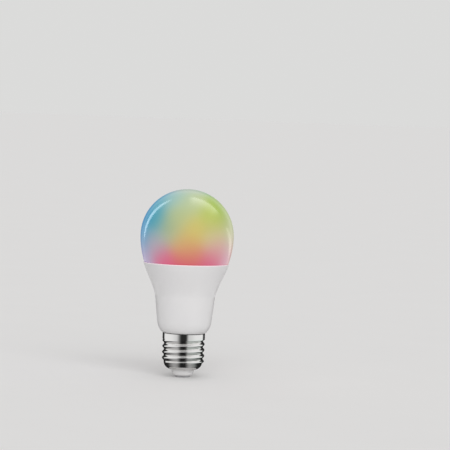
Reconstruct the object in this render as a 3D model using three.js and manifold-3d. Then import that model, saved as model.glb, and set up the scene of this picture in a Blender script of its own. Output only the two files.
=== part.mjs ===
// A-shape smart light bulb with an E27 screw cap, in millimetres.
// +Z is the lamp's axis, from the centre contact (z = 0) up to the crown of the diffuser.
// The driver board and the radio board stand on edge in planes of constant y.
import * as THREE from 'three';
import { mergeVertices } from 'three/addons/utils/BufferGeometryUtils.js';
import Module from 'manifold-3d';

const wasm = await Module();
wasm.setup();

// ---------------------------------------------------------------- driving dimensions
const LENGTH = 117; // contact face to crown
const GLOBE_R = 29; // largest radius of the diffuser
const RIM_Z = 71.2; // top rim of the housing
const RIM_R = 26.6; // outer radius of that rim
const CAP_TOP = 27.6; // top edge of the screw shell
const TURN = 2 * Math.PI;

const GLOBE_WALL = 1.2;
const HOUSING_WALL = 1.5;
const CUP_WALL = 1.0;
const SHELL_WALL = 0.4;
const FIT = 0.3; // gap between curved faces that meet
const TOUCH = 0.1; // gap between flat faces that meet
const SEAM_Z = RIM_Z + FIT; // lowest visible edge of the diffuser

// E27 thread: seven turns to the inch, rounded crests and roots.
const THREAD_PITCH = 25.4 / 7;
const THREAD_CREST_R = 13.2;
const THREAD_ROOT_R = 12.12;
const THREAD_CREST_Z = 20.8; // height of a crest where it crosses the +X side
const THREAD_BOTTOM = 8.6;
const THREAD_TOP = 23.3;

const REBATE_R = 24.7; // step inside the rim that takes the globe's lip
const REBATE_Z = 67.4;
const REBATE_INNER_R = 23.75; // where the step meets the housing's inner wall
const DECK_TOP = 66.6; // face of the heat sink that carries the light engine
const BOARD_R = 22.4; // light engine board
const BOARD_THICK = 1.2;
const PAD_THICK = 0.4;
const BOARD_TOP = DECK_TOP + TOUCH + PAD_THICK + TOUCH + BOARD_THICK;

const SHOULDER_R = 16.9; // housing radius above its rounded lower end
const COLLAR_R = 11.2; // housing neck inside the threaded part of the shell
const COLLAR_BORE_R = 10;
const COLLAR_BOTTOM = 12;

const DRIVER_Y = [-3.4, -2.2]; // the two faces of the driver board
const DRIVER_TOP = 58;
const RADIO_Y = [-0.4, 0.4]; // the two faces of the radio board
const RADIO_TOP = 80;

const ROUND = 32; // segments of a large turned piece
const SHELL_ROUND = 28;
const SMALL_ROUND = 16;

// ---------------------------------------------------------------- materials
const plain = (color, roughness, metalness = 0) =>
  new THREE.MeshStandardMaterial({ color, roughness, metalness });

const M = {
  diffuser: plain(0xb9c184, 0.25),
  housing: plain(0xe6e5e6, 0.45),
  nickel: plain(0xc9c6c2, 0.18, 1),
  insulator: plain(0xdcdcdc, 0.5),
  contact: plain(0xb8b8ba, 0.3, 1),
  aluminium: plain(0xb9bcc0, 0.4, 1),
  silicone: plain(0xdfe0dc, 0.6),
  pad: plain(0x9fa6ad, 0.8),
  whiteBoard: plain(0xf1f1ec, 0.5),
  greenBoard: plain(0x1f5c3a, 0.45),
  blueBoard: plain(0x1c2f4e, 0.45),
  warmLed: plain(0xe9b93c, 0.35),
  coolLed: plain(0xf0df79, 0.35),
  colourLed: plain(0xe9e9e6, 0.35),
  screw: plain(0xa9abad, 0.3, 1),
  can: plain(0xc3c5c7, 0.3, 1),
  copper: plain(0xc98b52, 0.35, 1),
  blackPlastic: plain(0x1b1b1c, 0.5),
  capSleeve: plain(0x23262b, 0.35),
  filmBox: plain(0xb8912f, 0.45),
  ferrite: plain(0x35353a, 0.6),
  winding: plain(0xc7953c, 0.35),
  fuse: plain(0x4b8a5a, 0.5),
  varistor: plain(0x2d5fa8, 0.45),
  redWire: plain(0xb3262a, 0.5),
  blackWire: plain(0x1f1f22, 0.5),
};

// ---------------------------------------------------------------- shape helpers
const v2 = (x, y) => new THREE.Vector2(x, y);

// A solid turned about +Z from [radius, z] points that run up the outside and down the inside.
function turned(points, segments = ROUND) {
  const profile = points.map((p) => (p.isVector2 ? p : v2(p[0], p[1])));
  return new THREE.LatheGeometry(profile, segments).rotateX(Math.PI / 2);
}

// A block from its lowest to its highest corner.
function block([x0, y0, z0], [x1, y1, z1]) {
  const box = new THREE.BoxGeometry(x1 - x0, y1 - y0, z1 - z0);
  return box.translate((x0 + x1) / 2, (y0 + y1) / 2, (z0 + z1) / 2);
}

// An upright cylinder on the axis, from z0 to z1.
function rod(radius, z0, z1, segments = SMALL_ROUND) {
  const upright = new THREE.CylinderGeometry(radius, radius, z1 - z0, segments).rotateX(Math.PI / 2);
  return upright.translate(0, 0, (z0 + z1) / 2);
}

function solid(geometry) {
  const bare = geometry.clone();
  bare.deleteAttribute('normal');
  bare.deleteAttribute('uv');
  const merged = mergeVertices(bare);
  const mesh = new wasm.Mesh({
    numProp: 3,
    vertProperties: merged.attributes.position.array,
    triVerts: new Uint32Array(merged.index.array),
  });
  return new wasm.Manifold(mesh);
}

function geometryOf(made) {
  const mesh = made.getMesh();
  const geometry = new THREE.BufferGeometry();
  geometry.setAttribute('position', new THREE.BufferAttribute(mesh.vertProperties, 3));
  geometry.setIndex(new THREE.BufferAttribute(mesh.triVerts, 1));
  return geometry;
}

const cut = (body, ...tools) =>
  geometryOf(tools.reduce((left, tool) => left.subtract(solid(tool)), solid(body)));
const join = (...pieces) =>
  geometryOf(pieces.map(solid).reduce((left, piece) => left.add(piece)));

// A round lead along a smooth curve through the points.
function lead(points, radius) {
  const route = new THREE.CatmullRomCurve3(points.map((p) => new THREE.Vector3(...p)));
  const section = new THREE.Shape().absarc(0, 0, radius, 0, TURN);
  return new THREE.ExtrudeGeometry(section, { steps: 10, curveSegments: 4, extrudePath: route });
}

const smooth = (x, low, high) => THREE.MathUtils.smoothstep(x, low, high);

// ---------------------------------------------------------------- outer form
// The housing's flare, from the top of the neck to the rim.
const flare = new THREE.CubicBezierCurve(
  v2(18.6, 50),
  v2(19.4, 56),
  v2(23.8, 62.6),
  v2(RIM_R, RIM_Z - FIT),
);

// A point of the flare, moved inwards by inset.
function flarePoint(t, inset) {
  const along = flare.getTangent(t);
  return flare.getPoint(t).add(v2(-along.y * inset, along.x * inset));
}

const flareWall = (from, to, steps, inset) =>
  Array.from({ length: steps + 1 }, (_, i) => flarePoint(from + ((to - from) * i) / steps, inset));

// The globe's side and crown: a barrel that swells from the seam, then a ball.
function globeSide(inset, barrelSteps, ballSteps) {
  const radius = GLOBE_R - inset;
  const middle = LENGTH - GLOBE_R;
  const side = new THREE.CubicBezierCurve(
    v2(26.3 - inset, SEAM_Z + inset),
    v2(27.9 - inset, SEAM_Z + 5),
    v2(radius, middle - 6),
    v2(radius, middle),
  );
  const ball = new THREE.EllipseCurve(0, middle, radius, radius, 0, Math.PI / 2);
  const ballPoints = ball.getPoints(ballSteps).slice(1, -1);
  return [...side.getPoints(barrelSteps), ...ballPoints, v2(0, LENGTH - inset)];
}

function diffuserGlobe() {
  const lipOuter = REBATE_R - FIT;
  const lipInner = lipOuter - GLOBE_WALL;
  const lipBottom = REBATE_Z + 1.2;
  const inside = globeSide(GLOBE_WALL, 3, 7).reverse();
  const lip = [
    v2(lipInner, SEAM_Z + GLOBE_WALL),
    v2(lipInner, lipBottom),
    v2(lipOuter, lipBottom),
    v2(lipOuter, SEAM_Z),
  ];
  return turned([...inside, ...lip, ...globeSide(0, 4, 9)]);
}

function globeBead() {
  const [low, high] = [REBATE_Z + FIT, REBATE_Z + 0.9];
  const [inner, outer] = [REBATE_INNER_R + TOUCH, REBATE_R - 0.2];
  return turned([[inner, low], [outer, low], [outer, high], [inner, high], [inner, low]]);
}

function outerHousing() {
  const shoulder = new THREE.CubicBezierCurve(
    v2(13.5, CAP_TOP + FIT),
    v2(14.9, 28.8),
    v2(16.4, 31.2),
    v2(SHOULDER_R, 34.8),
  );
  const seatR = THREAD_CREST_R - SHELL_WALL - FIT - 0.05; // inside the shell's plain skirt
  const outside = [
    v2(COLLAR_BORE_R, COLLAR_BOTTOM),
    v2(COLLAR_R, COLLAR_BOTTOM),
    v2(COLLAR_R, THREAD_TOP - 0.4),
    v2(seatR, THREAD_TOP + 1.2),
    v2(seatR, CAP_TOP + FIT),
    ...shoulder.getPoints(4),
    ...flareWall(0, 1, 6, 0),
    v2(RIM_R - 0.3, RIM_Z),
  ];
  const inside = [
    v2(REBATE_R, RIM_Z),
    v2(REBATE_R, REBATE_Z),
    v2(REBATE_INNER_R, REBATE_Z),
    ...flareWall(0, 0.78, 4, HOUSING_WALL).reverse(),
    v2(SHOULDER_R - HOUSING_WALL, 35),
    v2(COLLAR_BORE_R, 28.2),
    v2(COLLAR_BORE_R, COLLAR_BOTTOM),
  ];
  return join(turned([...outside, ...inside]), ...boardGuides());
}

// Two pairs of ribs inside the collar, which hold the edges of the driver board.
function boardGuides() {
  const [behind, ahead] = [DRIVER_Y[0] - FIT, DRIVER_Y[1] + FIT];
  const ribs = [];
  for (const side of [-1, 1]) {
    for (const [y0, y1] of [[behind - 0.9, behind], [ahead, ahead + 0.9]]) {
      const [x0, x1] = side < 0 ? [-10.1, -8.1] : [8.1, 10.1];
      ribs.push(block([x0, y0, COLLAR_BOTTOM + 1], [x1, y1, 27]));
    }
  }
  return ribs;
}

// ---------------------------------------------------------------- screw cap
// Radius of the shell's outside at a height and an angle: dome, thread, then plain skirt.
function threadRadius(z, angle) {
  const wave = 0.5 + 0.5 * Math.cos((TURN * (z - THREAD_CREST_Z)) / THREAD_PITCH - angle);
  const depth = (THREAD_CREST_R - THREAD_ROOT_R) * smooth(z, THREAD_BOTTOM - 0.6, THREAD_BOTTOM + 1.6);
  const narrowing = 0.35 * (1 - smooth(z, THREAD_BOTTOM, THREAD_BOTTOM + 2));
  const threaded = THREAD_ROOT_R - narrowing + depth * wave;
  const plainShare = smooth(z, THREAD_TOP - 0.3, THREAD_TOP + 0.6);
  return THREE.MathUtils.lerp(threaded, THREAD_CREST_R, plainShare);
}

const DOME = { mouth: 7.3, bottom: 4.7, side: 11.77 };

// The rolled-in bottom of the shell, from its mouth out to the thread.
function domeCurve(inset) {
  return new THREE.CubicBezierCurve(
    v2(DOME.mouth, DOME.bottom + inset),
    v2(9.4 - inset * 0.4, 5.0 + inset),
    v2(11.1 - inset, 6.2 + inset * 0.6),
    v2(DOME.side - inset, THREAD_BOTTOM - 0.6),
  );
}

function screwShell() {
  const skirt = THREAD_TOP + 0.6;
  const rows = Math.round((skirt - THREAD_BOTTOM) / (THREAD_PITCH / 5));
  const heights = Array.from({ length: rows + 1 }, (_, i) =>
    THREE.MathUtils.lerp(THREAD_BOTTOM, skirt, i / rows));
  heights.push(CAP_TOP);
  const outside = [...domeCurve(0).getPoints(4), ...heights.map((z) => v2(THREAD_CREST_R, z))];
  const inside = [
    ...heights.map((z) => v2(THREAD_CREST_R - SHELL_WALL, z)).reverse(),
    ...domeCurve(SHELL_WALL).getPoints(4).reverse(),
    v2(DOME.mouth, DOME.bottom),
  ];
  const shell = turned([...outside, ...inside], SHELL_ROUND);
  wrapThread(shell.attributes.position);
  return shell;
}

// Moves each point of the plain shell above the dome in to the helical surface.
function wrapThread(position) {
  for (let i = 0; i < position.count; i++) {
    const [x, y, z] = [position.getX(i), position.getY(i), position.getZ(i)];
    if (z < THREAD_BOTTOM - 0.01) continue;
    const angle = Math.atan2(y, x);
    const inset = THREAD_CREST_R - Math.hypot(x, y);
    const radius = threadRadius(z, angle) - inset;
    position.setXY(i, radius * Math.cos(angle), radius * Math.sin(angle));
  }
}

function capInsulator() {
  const [bottom, top, hole, neck] = [1.05, 8.4, 1.5, 6.95];
  const dome = domeCurve(SHELL_WALL + FIT).getPoints(4);
  const seat = dome.map((p) => v2(Math.max(p.x - FIT, neck), p.y));
  const button = new THREE.CubicBezierCurve(
    v2(4.9, bottom),
    v2(6.1, bottom),
    v2(6.7, 2.6),
    v2(neck, 4.4),
  );
  return turned([
    v2(hole, bottom),
    ...button.getPoints(4),
    ...seat,
    v2(10.7, top),
    v2(hole, top),
    v2(hole, bottom),
  ], SHELL_ROUND);
}

function centreContact() {
  const head = new THREE.CubicBezierCurve(v2(3.3, 0), v2(4.3, 0.05), v2(4.7, 0.35), v2(4.7, 0.75));
  const [stemR, under, top] = [1.2, 0.95, 9.4];
  return turned([
    v2(0, 0),
    ...head.getPoints(3),
    v2(4.6, under),
    v2(stemR, under),
    v2(stemR, top),
    v2(0, top),
  ], SHELL_ROUND);
}

// ---------------------------------------------------------------- light engine
const PIN_Y = -4.8;
const PIN_XS = [-2, -1, 0, 1, 2].map((n) => n * 2.54);
const SCREW_Y = 13.2;
const SCREW_HOLE_R = 1.5;
const radioSlot = () => block([-9, -1.3, 60], [9, 1.3, 75]);
const screwHoles = () => [-1, 1].map((side) => rod(SCREW_HOLE_R, 60, 75).translate(0, side * SCREW_Y, 0));
const pinSlot = () => block([-6.4, PIN_Y - 1.2, 60], [6.4, PIN_Y + 1.2, 75]);
const pinHoles = () => PIN_XS.map((x) => rod(0.75, 60, 75, 10).translate(x, PIN_Y, 0));

function heatSinkCup() {
  const inset = HOUSING_WALL + FIT;
  const cup = turned([
    [0, DECK_TOP - CUP_WALL],
    [21.7, DECK_TOP - CUP_WALL],
    ...flareWall(0, 0.68, 4, inset + CUP_WALL).reverse(),
    ...flareWall(0, 0.68, 4, inset),
    [22.75, DECK_TOP],
    [0, DECK_TOP],
  ]);
  return cut(cup, radioSlot(), pinSlot(), ...screwHoles());
}

function thermalPad() {
  const bottom = DECK_TOP + TOUCH;
  return cut(rod(20.5, bottom, bottom + PAD_THICK, ROUND), radioSlot(), pinSlot(), ...screwHoles());
}

function ledBoard() {
  const disc = rod(BOARD_R, BOARD_TOP - BOARD_THICK, BOARD_TOP, ROUND);
  return cut(disc, radioSlot(), ...pinHoles(), ...screwHoles());
}

// Pan-head screw with a cross recess, standing in its hole.
function boardScrew() {
  const under = BOARD_TOP + TOUCH;
  const body = turned([
    [0, under - 5.6], [0.5, under - 5.6], [1.15, under - 4.6], [1.15, under],
    [2.3, under], [2.3, under + 0.7], [1.7, under + 1.5], [0, under + 1.7],
  ], SMALL_ROUND);
  const recess = [[1.3, 0.3], [0.3, 1.3]].map(([x, y]) => block([-x, -y, under + 0.8], [x, y, under + 3]));
  return cut(body, ...recess);
}

// A lamp package: a body with a shallow window for the phosphor or the dice.
function ledPackage(width, length, height) {
  const body = block([-width / 2, -length / 2, 0], [width / 2, length / 2, height]);
  const rim = 0.5;
  const window = block(
    [rim - width / 2, rim - length / 2, height - 0.15],
    [width / 2 - rim, length / 2 - rim, height + 1],
  );
  return cut(body, window);
}

// ---------------------------------------------------------------- boards and their parts
function driverBoard() {
  const outline = new THREE.Shape([
    v2(-8.6, 13.2), v2(8.6, 13.2), v2(8.6, 33), v2(12.6, 36), v2(12.6, DRIVER_TOP),
    v2(-12.6, DRIVER_TOP), v2(-12.6, 36), v2(-8.6, 33),
  ]);
  const depth = DRIVER_Y[1] - DRIVER_Y[0];
  const flat = new THREE.ExtrudeGeometry(outline, { depth, bevelEnabled: false });
  return flat.rotateX(Math.PI / 2).translate(0, DRIVER_Y[1], 0);
}

function ledHeader() {
  const bar = block([-6.2, PIN_Y - 1.2, DRIVER_TOP - 2.8], [6.2, DRIVER_Y[0] - TOUCH, DRIVER_TOP]);
  const half = 0.32;
  const pins = PIN_XS.map((x) =>
    block([x - half, PIN_Y - half, DRIVER_TOP - 1], [x + half, PIN_Y + half, BOARD_TOP + 1.1]));
  return join(bar, ...pins);
}

const radioBoard = () => block([-8, RADIO_Y[0], 48], [8, RADIO_Y[1], RADIO_TOP]);
const radioHeader = () => block([-6.4, DRIVER_Y[1] + TOUCH, 50], [6.4, RADIO_Y[0] - TOUCH, 52.5]);
const radioCan = () => block([-6, RADIO_Y[1] + TOUCH, 51], [6, 2.3, 62.5]);
const radioCrystal = () => block([2.8, -1.3, 58], [6, RADIO_Y[0] - TOUCH, 60.5]);

// The printed aerial: a meander across the top of the radio board.
function radioAntenna() {
  const [trace, low, high, left, folds, step] = [0.6, 72.4, 78.6, -6.6, 6, 2.2];
  const [y0, y1] = [RADIO_Y[1] + 0.03, RADIO_Y[1] + 0.2];
  const bars = [];
  for (let i = 0; i <= folds; i++) {
    const x = left + i * step;
    bars.push(block([x, y0, i === 0 ? low - 1.4 : low], [x + trace, y1, high]));
    const z = i % 2 === 0 ? high - trace : low;
    if (i < folds) bars.push(block([x, y0, z], [x + step + trace, y1, z + trace]));
  }
  return join(...bars);
}

// A radial electrolytic can, with the crimp above its rubber seal.
function electrolytic(radius, height) {
  return turned([
    [0, 0], [radius - 0.5, 0], [radius, 0.4], [radius, 1.6], [radius - 0.45, 2.1],
    [radius, 2.6], [radius, height - 0.5], [radius - 0.5, height], [0, height],
  ], 20);
}

// Ferrite frame with a middle leg, the bobbin that slides over that leg, and its winding.
const LEG = { x: 2, y: 2.75 }; // half sizes of the middle leg
const FORMER = { x: LEG.x + 0.8, y: LEG.y + 0.8 }; // half sizes of the bobbin's tube

const slab = (x, y, z) => block([-x, -y, -z], [x, y, z]);

function transformerCore() {
  const window = slab(1.6, 4, 4.3);
  return cut(slab(6.5, LEG.y, 6), window.clone().translate(-3.6, 0, 0), window.translate(3.6, 0, 0));
}

function transformerBobbin() {
  const flanges = [-1, 1].map((side) => slab(4.9, 5.1, 0.3).translate(0, 0, side * 3.7));
  const feet = [-1, 1].map((side) => slab(5.6, 1.25, 1).translate(0, -4.4, side * 4.9));
  const leg = slab(LEG.x + FIT, LEG.y + FIT, 5);
  return cut(join(slab(FORMER.x, FORMER.y, 3.9), ...flanges, ...feet), leg);
}

function transformerWinding() {
  const outline = new THREE.Shape().absarc(0, 0, 1, 0, TURN);
  const coil = new THREE.ExtrudeGeometry(outline, { depth: 6.2, bevelEnabled: false, curveSegments: 14 });
  coil.scale(5.6, 4.9, 1).translate(0, 0, -3.1);
  const inWindow = solid(coil).intersect(solid(slab(4.6, 6, 4)));
  return cut(geometryOf(inWindow), slab(FORMER.x + 0.2, FORMER.y + 0.2, 5));
}

const chokeCore = () => turned([
  [0, 0], [3.7, 0], [4, 0.3], [4, 1.3], [1.8, 1.3],
  [1.8, 7.7], [4, 7.7], [4, 8.7], [3.7, 9], [0, 9],
], SMALL_ROUND).rotateX(Math.PI / 2);
const chokeWinding = () =>
  turned([[2.1, 1.6], [3.6, 1.6], [3.6, 7.4], [2.1, 7.4], [2.1, 1.6]], SMALL_ROUND).rotateX(Math.PI / 2);

const fuseResistor = () => turned([
  [0, 0], [1.2, 0], [1.6, 0.5], [1.6, 1.6], [1.35, 2.1],
  [1.35, 5.9], [1.6, 6.4], [1.6, 7.5], [1.2, 8], [0, 8],
], SMALL_ROUND);
const varistor = () => turned([
  [0, 0], [2.9, 0], [3.5, 0.6], [3.5, 2], [2.9, 2.6], [0, 2.6],
], SMALL_ROUND).rotateX(Math.PI / 2);

const lineWire = () => lead([
  [-2.2, -4.2, 15.2], [-2.2, -4.3, 13.2], [-1.4, -2.8, 11.6], [-0.2, -0.6, 11.2], [0, 0, 9.8],
], 0.55);
const neutralWire = () => lead([
  [4.6, -4.3, 15.2], [4.7, -4.4, 12.6], [6.1, -5.6, 10.6], [8.2, -7.2, 9.9],
], 0.55);

// ---------------------------------------------------------------- assembly
const bulb = new THREE.Group();

function place(name, geometry, material, x = 0, y = 0, z = 0, turn = 0) {
  const mesh = new THREE.Mesh(geometry, material);
  mesh.name = name;
  mesh.position.set(x, y, z);
  mesh.rotation.z = turn;
  bulb.add(mesh);
}

place('diffuser_globe', diffuserGlobe(), M.diffuser);
place('globe_adhesive_bead', globeBead(), M.silicone);
place('outer_housing', outerHousing(), M.housing);
place('screw_shell', screwShell(), M.nickel);
place('cap_insulator', capInsulator(), M.insulator);
place('centre_contact', centreContact(), M.contact);

place('heat_sink_cup', heatSinkCup(), M.aluminium);
place('thermal_pad', thermalPad(), M.pad);
place('led_board', ledBoard(), M.whiteBoard);
place('board_screw_1', boardScrew(), M.screw, 0, SCREW_Y);
place('board_screw_2', boardScrew(), M.screw, 0, -SCREW_Y);

const LED_Z = BOARD_TOP + TOUCH;
const WHITE_RING_R = 17.6;
const WHITE_COUNT = 12;
for (let i = 0; i < WHITE_COUNT; i++) {
  const angle = ((i + 0.5) / WHITE_COUNT) * TURN;
  const warm = i % 2 === 0;
  const name = `${warm ? 'warm' : 'cool'}_white_led_${Math.floor(i / 2) + 1}`;
  const [x, y] = [WHITE_RING_R * Math.cos(angle), WHITE_RING_R * Math.sin(angle)];
  place(name, ledPackage(3.5, 2.8, 0.8), warm ? M.warmLed : M.coolLed, x, y, LED_Z, angle);
}

const COLOUR_RING_R = 12;
const COLOUR_COUNT = 6;
for (let i = 0; i < COLOUR_COUNT; i++) {
  const angle = (i / COLOUR_COUNT) * TURN;
  const [x, y] = [COLOUR_RING_R * Math.cos(angle), COLOUR_RING_R * Math.sin(angle)];
  place(`colour_led_${i + 1}`, ledPackage(3.5, 3.5, 1.4), M.colourLed, x, y, LED_Z, angle);
}

place('radio_board', radioBoard(), M.blueBoard);
place('radio_header', radioHeader(), M.blackPlastic);
place('radio_shield_can', radioCan(), M.can);
place('radio_crystal', radioCrystal(), M.can);
place('radio_antenna', radioAntenna(), M.copper);

const BEHIND = DRIVER_Y[0] - TOUCH; // where surface parts on the back of the driver board start
place('driver_board', driverBoard(), M.greenBoard);
place('led_header', ledHeader(), M.blackPlastic);
place('bulk_capacitor', electrolytic(5, 16), M.capSleeve, 0, 3.1, 15);
place('output_capacitor', electrolytic(3.15, 11), M.capSleeve, 10.2, 1.4, 35.5);
place('film_capacitor', block([-12, -1.9, 35.5], [-7.2, 4.4, 45]), M.filmBox);
place('transformer_core', transformerCore(), M.ferrite, 0, 3.6, 41);
place('transformer_bobbin', transformerBobbin(), M.blackPlastic, 0, 3.6, 41);
place('transformer_winding', transformerWinding(), M.winding, 0, 3.6, 41);
place('choke_core', chokeCore(), M.ferrite, 0, BEHIND, 41);
place('choke_winding', chokeWinding(), M.winding, 0, BEHIND, 41);
place('bridge_rectifier', block([-2.4, BEHIND - 2.4, 28.5], [2.4, BEHIND, 32.5]), M.blackPlastic);
place('power_ic', block([-10.6, BEHIND - 1.5, 49], [-5.7, BEHIND, 52.9]), M.blackPlastic);
place('led_driver_ic', block([-2.2, BEHIND - 1.5, 49], [7.7, BEHIND, 52.9]), M.blackPlastic);
place('fuse_resistor', fuseResistor(), M.fuse, -4.5, -5.3, 16.3);
place('varistor', varistor(), M.varistor, 3.4, -3.7, 19.8);
place('line_wire', lineWire(), M.redWire);
place('neutral_wire', neutralWire(), M.blackWire);

export default bulb;
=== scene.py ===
"""Smart light bulb: fine meshes, materials, floor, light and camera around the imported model.

Pieces are written in millimetres in the row's frame and scaled to metres when a mesh is made.
The floor, the cards and the camera are placed in metres, in the same frame.
"""

import math

import bmesh
import bpy
from mathutils import Matrix, Quaternion, Vector
from mathutils.geometry import tessellate_polygon


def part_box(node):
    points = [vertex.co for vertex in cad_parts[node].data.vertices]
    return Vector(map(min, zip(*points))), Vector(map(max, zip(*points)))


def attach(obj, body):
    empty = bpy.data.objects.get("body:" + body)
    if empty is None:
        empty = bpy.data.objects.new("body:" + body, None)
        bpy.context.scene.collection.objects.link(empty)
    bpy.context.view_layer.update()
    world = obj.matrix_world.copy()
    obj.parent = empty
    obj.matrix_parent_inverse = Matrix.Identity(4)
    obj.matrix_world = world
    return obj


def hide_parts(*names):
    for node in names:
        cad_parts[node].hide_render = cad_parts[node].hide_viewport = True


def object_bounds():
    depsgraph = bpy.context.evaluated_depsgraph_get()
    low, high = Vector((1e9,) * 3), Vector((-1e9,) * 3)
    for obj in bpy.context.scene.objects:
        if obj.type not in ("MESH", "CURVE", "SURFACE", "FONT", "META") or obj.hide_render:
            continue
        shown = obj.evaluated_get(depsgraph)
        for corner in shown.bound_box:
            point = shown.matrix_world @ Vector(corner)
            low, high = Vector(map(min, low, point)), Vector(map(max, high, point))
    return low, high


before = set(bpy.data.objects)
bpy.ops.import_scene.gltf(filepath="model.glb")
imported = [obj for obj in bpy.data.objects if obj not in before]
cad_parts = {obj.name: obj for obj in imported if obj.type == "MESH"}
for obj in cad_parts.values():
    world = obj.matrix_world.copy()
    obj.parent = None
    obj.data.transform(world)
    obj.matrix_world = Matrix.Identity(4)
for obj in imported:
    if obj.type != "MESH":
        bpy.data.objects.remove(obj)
CAD_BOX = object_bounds()

MM = 0.001
TURN = 2 * math.pi
SCENE = bpy.context.scene


# ---------------------------------------------------------------- sizes read from the frame
def box_mm(node):
    """Lowest and highest corner of a CAD node, in millimetres."""
    low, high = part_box(node)
    return low / MM, high / MM


def middle_mm(node):
    low, high = box_mm(node)
    return (low + high) / 2


GLOBE_HIGH = box_mm("diffuser_globe")[1]
HOUSING_HIGH = box_mm("outer_housing")[1]
SHELL_HIGH = box_mm("screw_shell")[1]
GLOBE_R = GLOBE_HIGH.x
CROWN_Z = GLOBE_HIGH.z
RIM_Z = HOUSING_HIGH.z
RIM_R = HOUSING_HIGH.x
CAP_TOP = SHELL_HIGH.z
SEAM_Z = RIM_Z + 0.3
BALL_Z = CROWN_Z - GLOBE_R


# ---------------------------------------------------------------- curves and outlines
def lerp(a, b, t):
    return a + (b - a) * t


def smooth_step(value, low, high):
    t = min(max((value - low) / (high - low), 0), 1)
    return t * t * (3 - 2 * t)


def bezier(points, steps):
    """Points along a cubic Bezier curve in the plane."""
    result = []
    for i in range(steps + 1):
        t = i / steps
        weights = ((1 - t) ** 3, 3 * t * (1 - t) ** 2, 3 * t * t * (1 - t), t**3)
        result.append(tuple(sum(w * p[k] for w, p in zip(weights, points)) for k in (0, 1)))
    return result


def arc(centre, radius, start, end, steps):
    """Points along a circle's arc; the angles are in degrees."""
    angles = [math.radians(lerp(start, end, i / steps)) for i in range(steps + 1)]
    return [(centre[0] + radius * math.cos(a), centre[1] + radius * math.sin(a)) for a in angles]


def soften(points, steps=5, closed=False):
    """Rounds each (x, y, reach) corner with a curve that starts and ends that far from it.

    An open outline keeps its two ends as they are."""
    result = []
    count = len(points)
    for i, point in enumerate(points):
        corner = Vector(point[:2])
        reach = point[2] if len(point) > 2 else 0
        if not reach or (not closed and i in (0, count - 1)):
            result.append(tuple(corner))
            continue
        before, after = Vector(points[i - 1][:2]), Vector(points[(i + 1) % count][:2])
        start = corner + (before - corner).normalized() * min(reach, (before - corner).length * 0.49)
        end = corner + (after - corner).normalized() * min(reach, (after - corner).length * 0.49)
        for k in range(steps + 1):
            t = k / steps
            result.append(tuple(start * (1 - t) ** 2 + corner * 2 * t * (1 - t) + end * t * t))
    return result


def catmull(points, steps):
    """A smooth route through the points."""
    route = [Vector(p) for p in points]
    ends = [2 * route[0] - route[1], *route, 2 * route[-1] - route[-2]]
    result = []
    for a, b, c, d in zip(ends, ends[1:], ends[2:], ends[3:]):
        for i in range(steps):
            t = i / steps
            curve = (2 * b) + (c - a) * t + (2 * a - 5 * b + 4 * c - d) * t * t
            result.append((curve + (3 * b - a - 3 * c + d) * t**3) / 2)
    result.append(route[-1])
    return result


# ---------------------------------------------------------------- mesh building, in millimetres
def bridge(bm, low, high):
    """Quads between two rings of vertices; a ring of one vertex makes a fan."""
    count = max(len(low), len(high))
    for k in range(count):
        corners = [ring[i % len(ring)] for ring, i in ((low, k), (low, k + 1), (high, k + 1), (high, k))]
        kept = [v for i, v in enumerate(corners) if v not in corners[:i]]
        if len(kept) > 2:
            bm.faces.new(kept)


def add_turned(bm, profile, segments=96, at=Matrix(), warp=None):
    """A solid turned about Z from (radius, z) points that run up the outside and down the inside.

    The profile starts and ends on the axis, or closes on itself. warp(radius, z, angle) moves
    each point to a new radius."""
    rings = []
    for radius, z in profile:
        if radius < 1e-6:
            rings.append([bm.verts.new(at @ Vector((0, 0, z)))])
            continue
        ring = []
        for k in range(segments):
            angle = TURN * k / segments
            r = warp(radius, z, angle) if warp else radius
            ring.append(bm.verts.new(at @ Vector((r * math.cos(angle), r * math.sin(angle), z))))
        rings.append(ring)
    following = rings[1:] if len(rings[0]) == 1 else rings[1:] + rings[:1]
    for low, high in zip(rings, following):
        bridge(bm, low, high)


def turned_mesh(profile, segments=96, at=Matrix(), warp=None):
    bm = bmesh.new()
    add_turned(bm, profile, segments, at, warp)
    return bm


def add_block(bm, low, high, edge=0.12, steps=2, at=Matrix()):
    """A block with rounded edges, from its lowest to its highest corner."""
    low, high = Vector(low), Vector(high)
    place = at @ Matrix.Translation((low + high) / 2) @ Matrix.Diagonal((*(high - low), 1))
    made = bmesh.ops.create_cube(bm, size=1, matrix=place)
    edges = list(dict.fromkeys(e for v in made["verts"] for e in v.link_edges))
    bmesh.ops.bevel(
        bm, geom=edges, offset=edge, segments=steps, profile=0.5, affect="EDGES", clamp_overlap=True
    )


def add_tube(bm, route, radius, sides=12):
    """A round bar with flat ends along a route; radius may be a function of the share of its length."""
    points = [Vector(p) for p in route]
    last = len(points) - 1
    tangents = [(points[min(i + 1, last)] - points[max(i - 1, 0)]).normalized() for i in range(last + 1)]
    start = Vector((0, 0, 1)) if abs(tangents[0].z) < 0.9 else Vector((1, 0, 0))
    across = tangents[0].cross(start).normalized()
    rings = []
    for i, (point, along) in enumerate(zip(points, tangents)):
        across = (across - along * across.dot(along)).normalized()
        other = along.cross(across)
        size = radius(i / last) if callable(radius) else radius
        angles = [TURN * k / sides for k in range(sides)]
        spokes = [across * math.cos(a) + other * math.sin(a) for a in angles]
        rings.append([bm.verts.new(point + spoke * size) for spoke in spokes])
    for low, high in zip(rings, rings[1:]):
        bridge(bm, low, high)
    bm.faces.new(rings[0][::-1])
    bm.faces.new(rings[-1])


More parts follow.
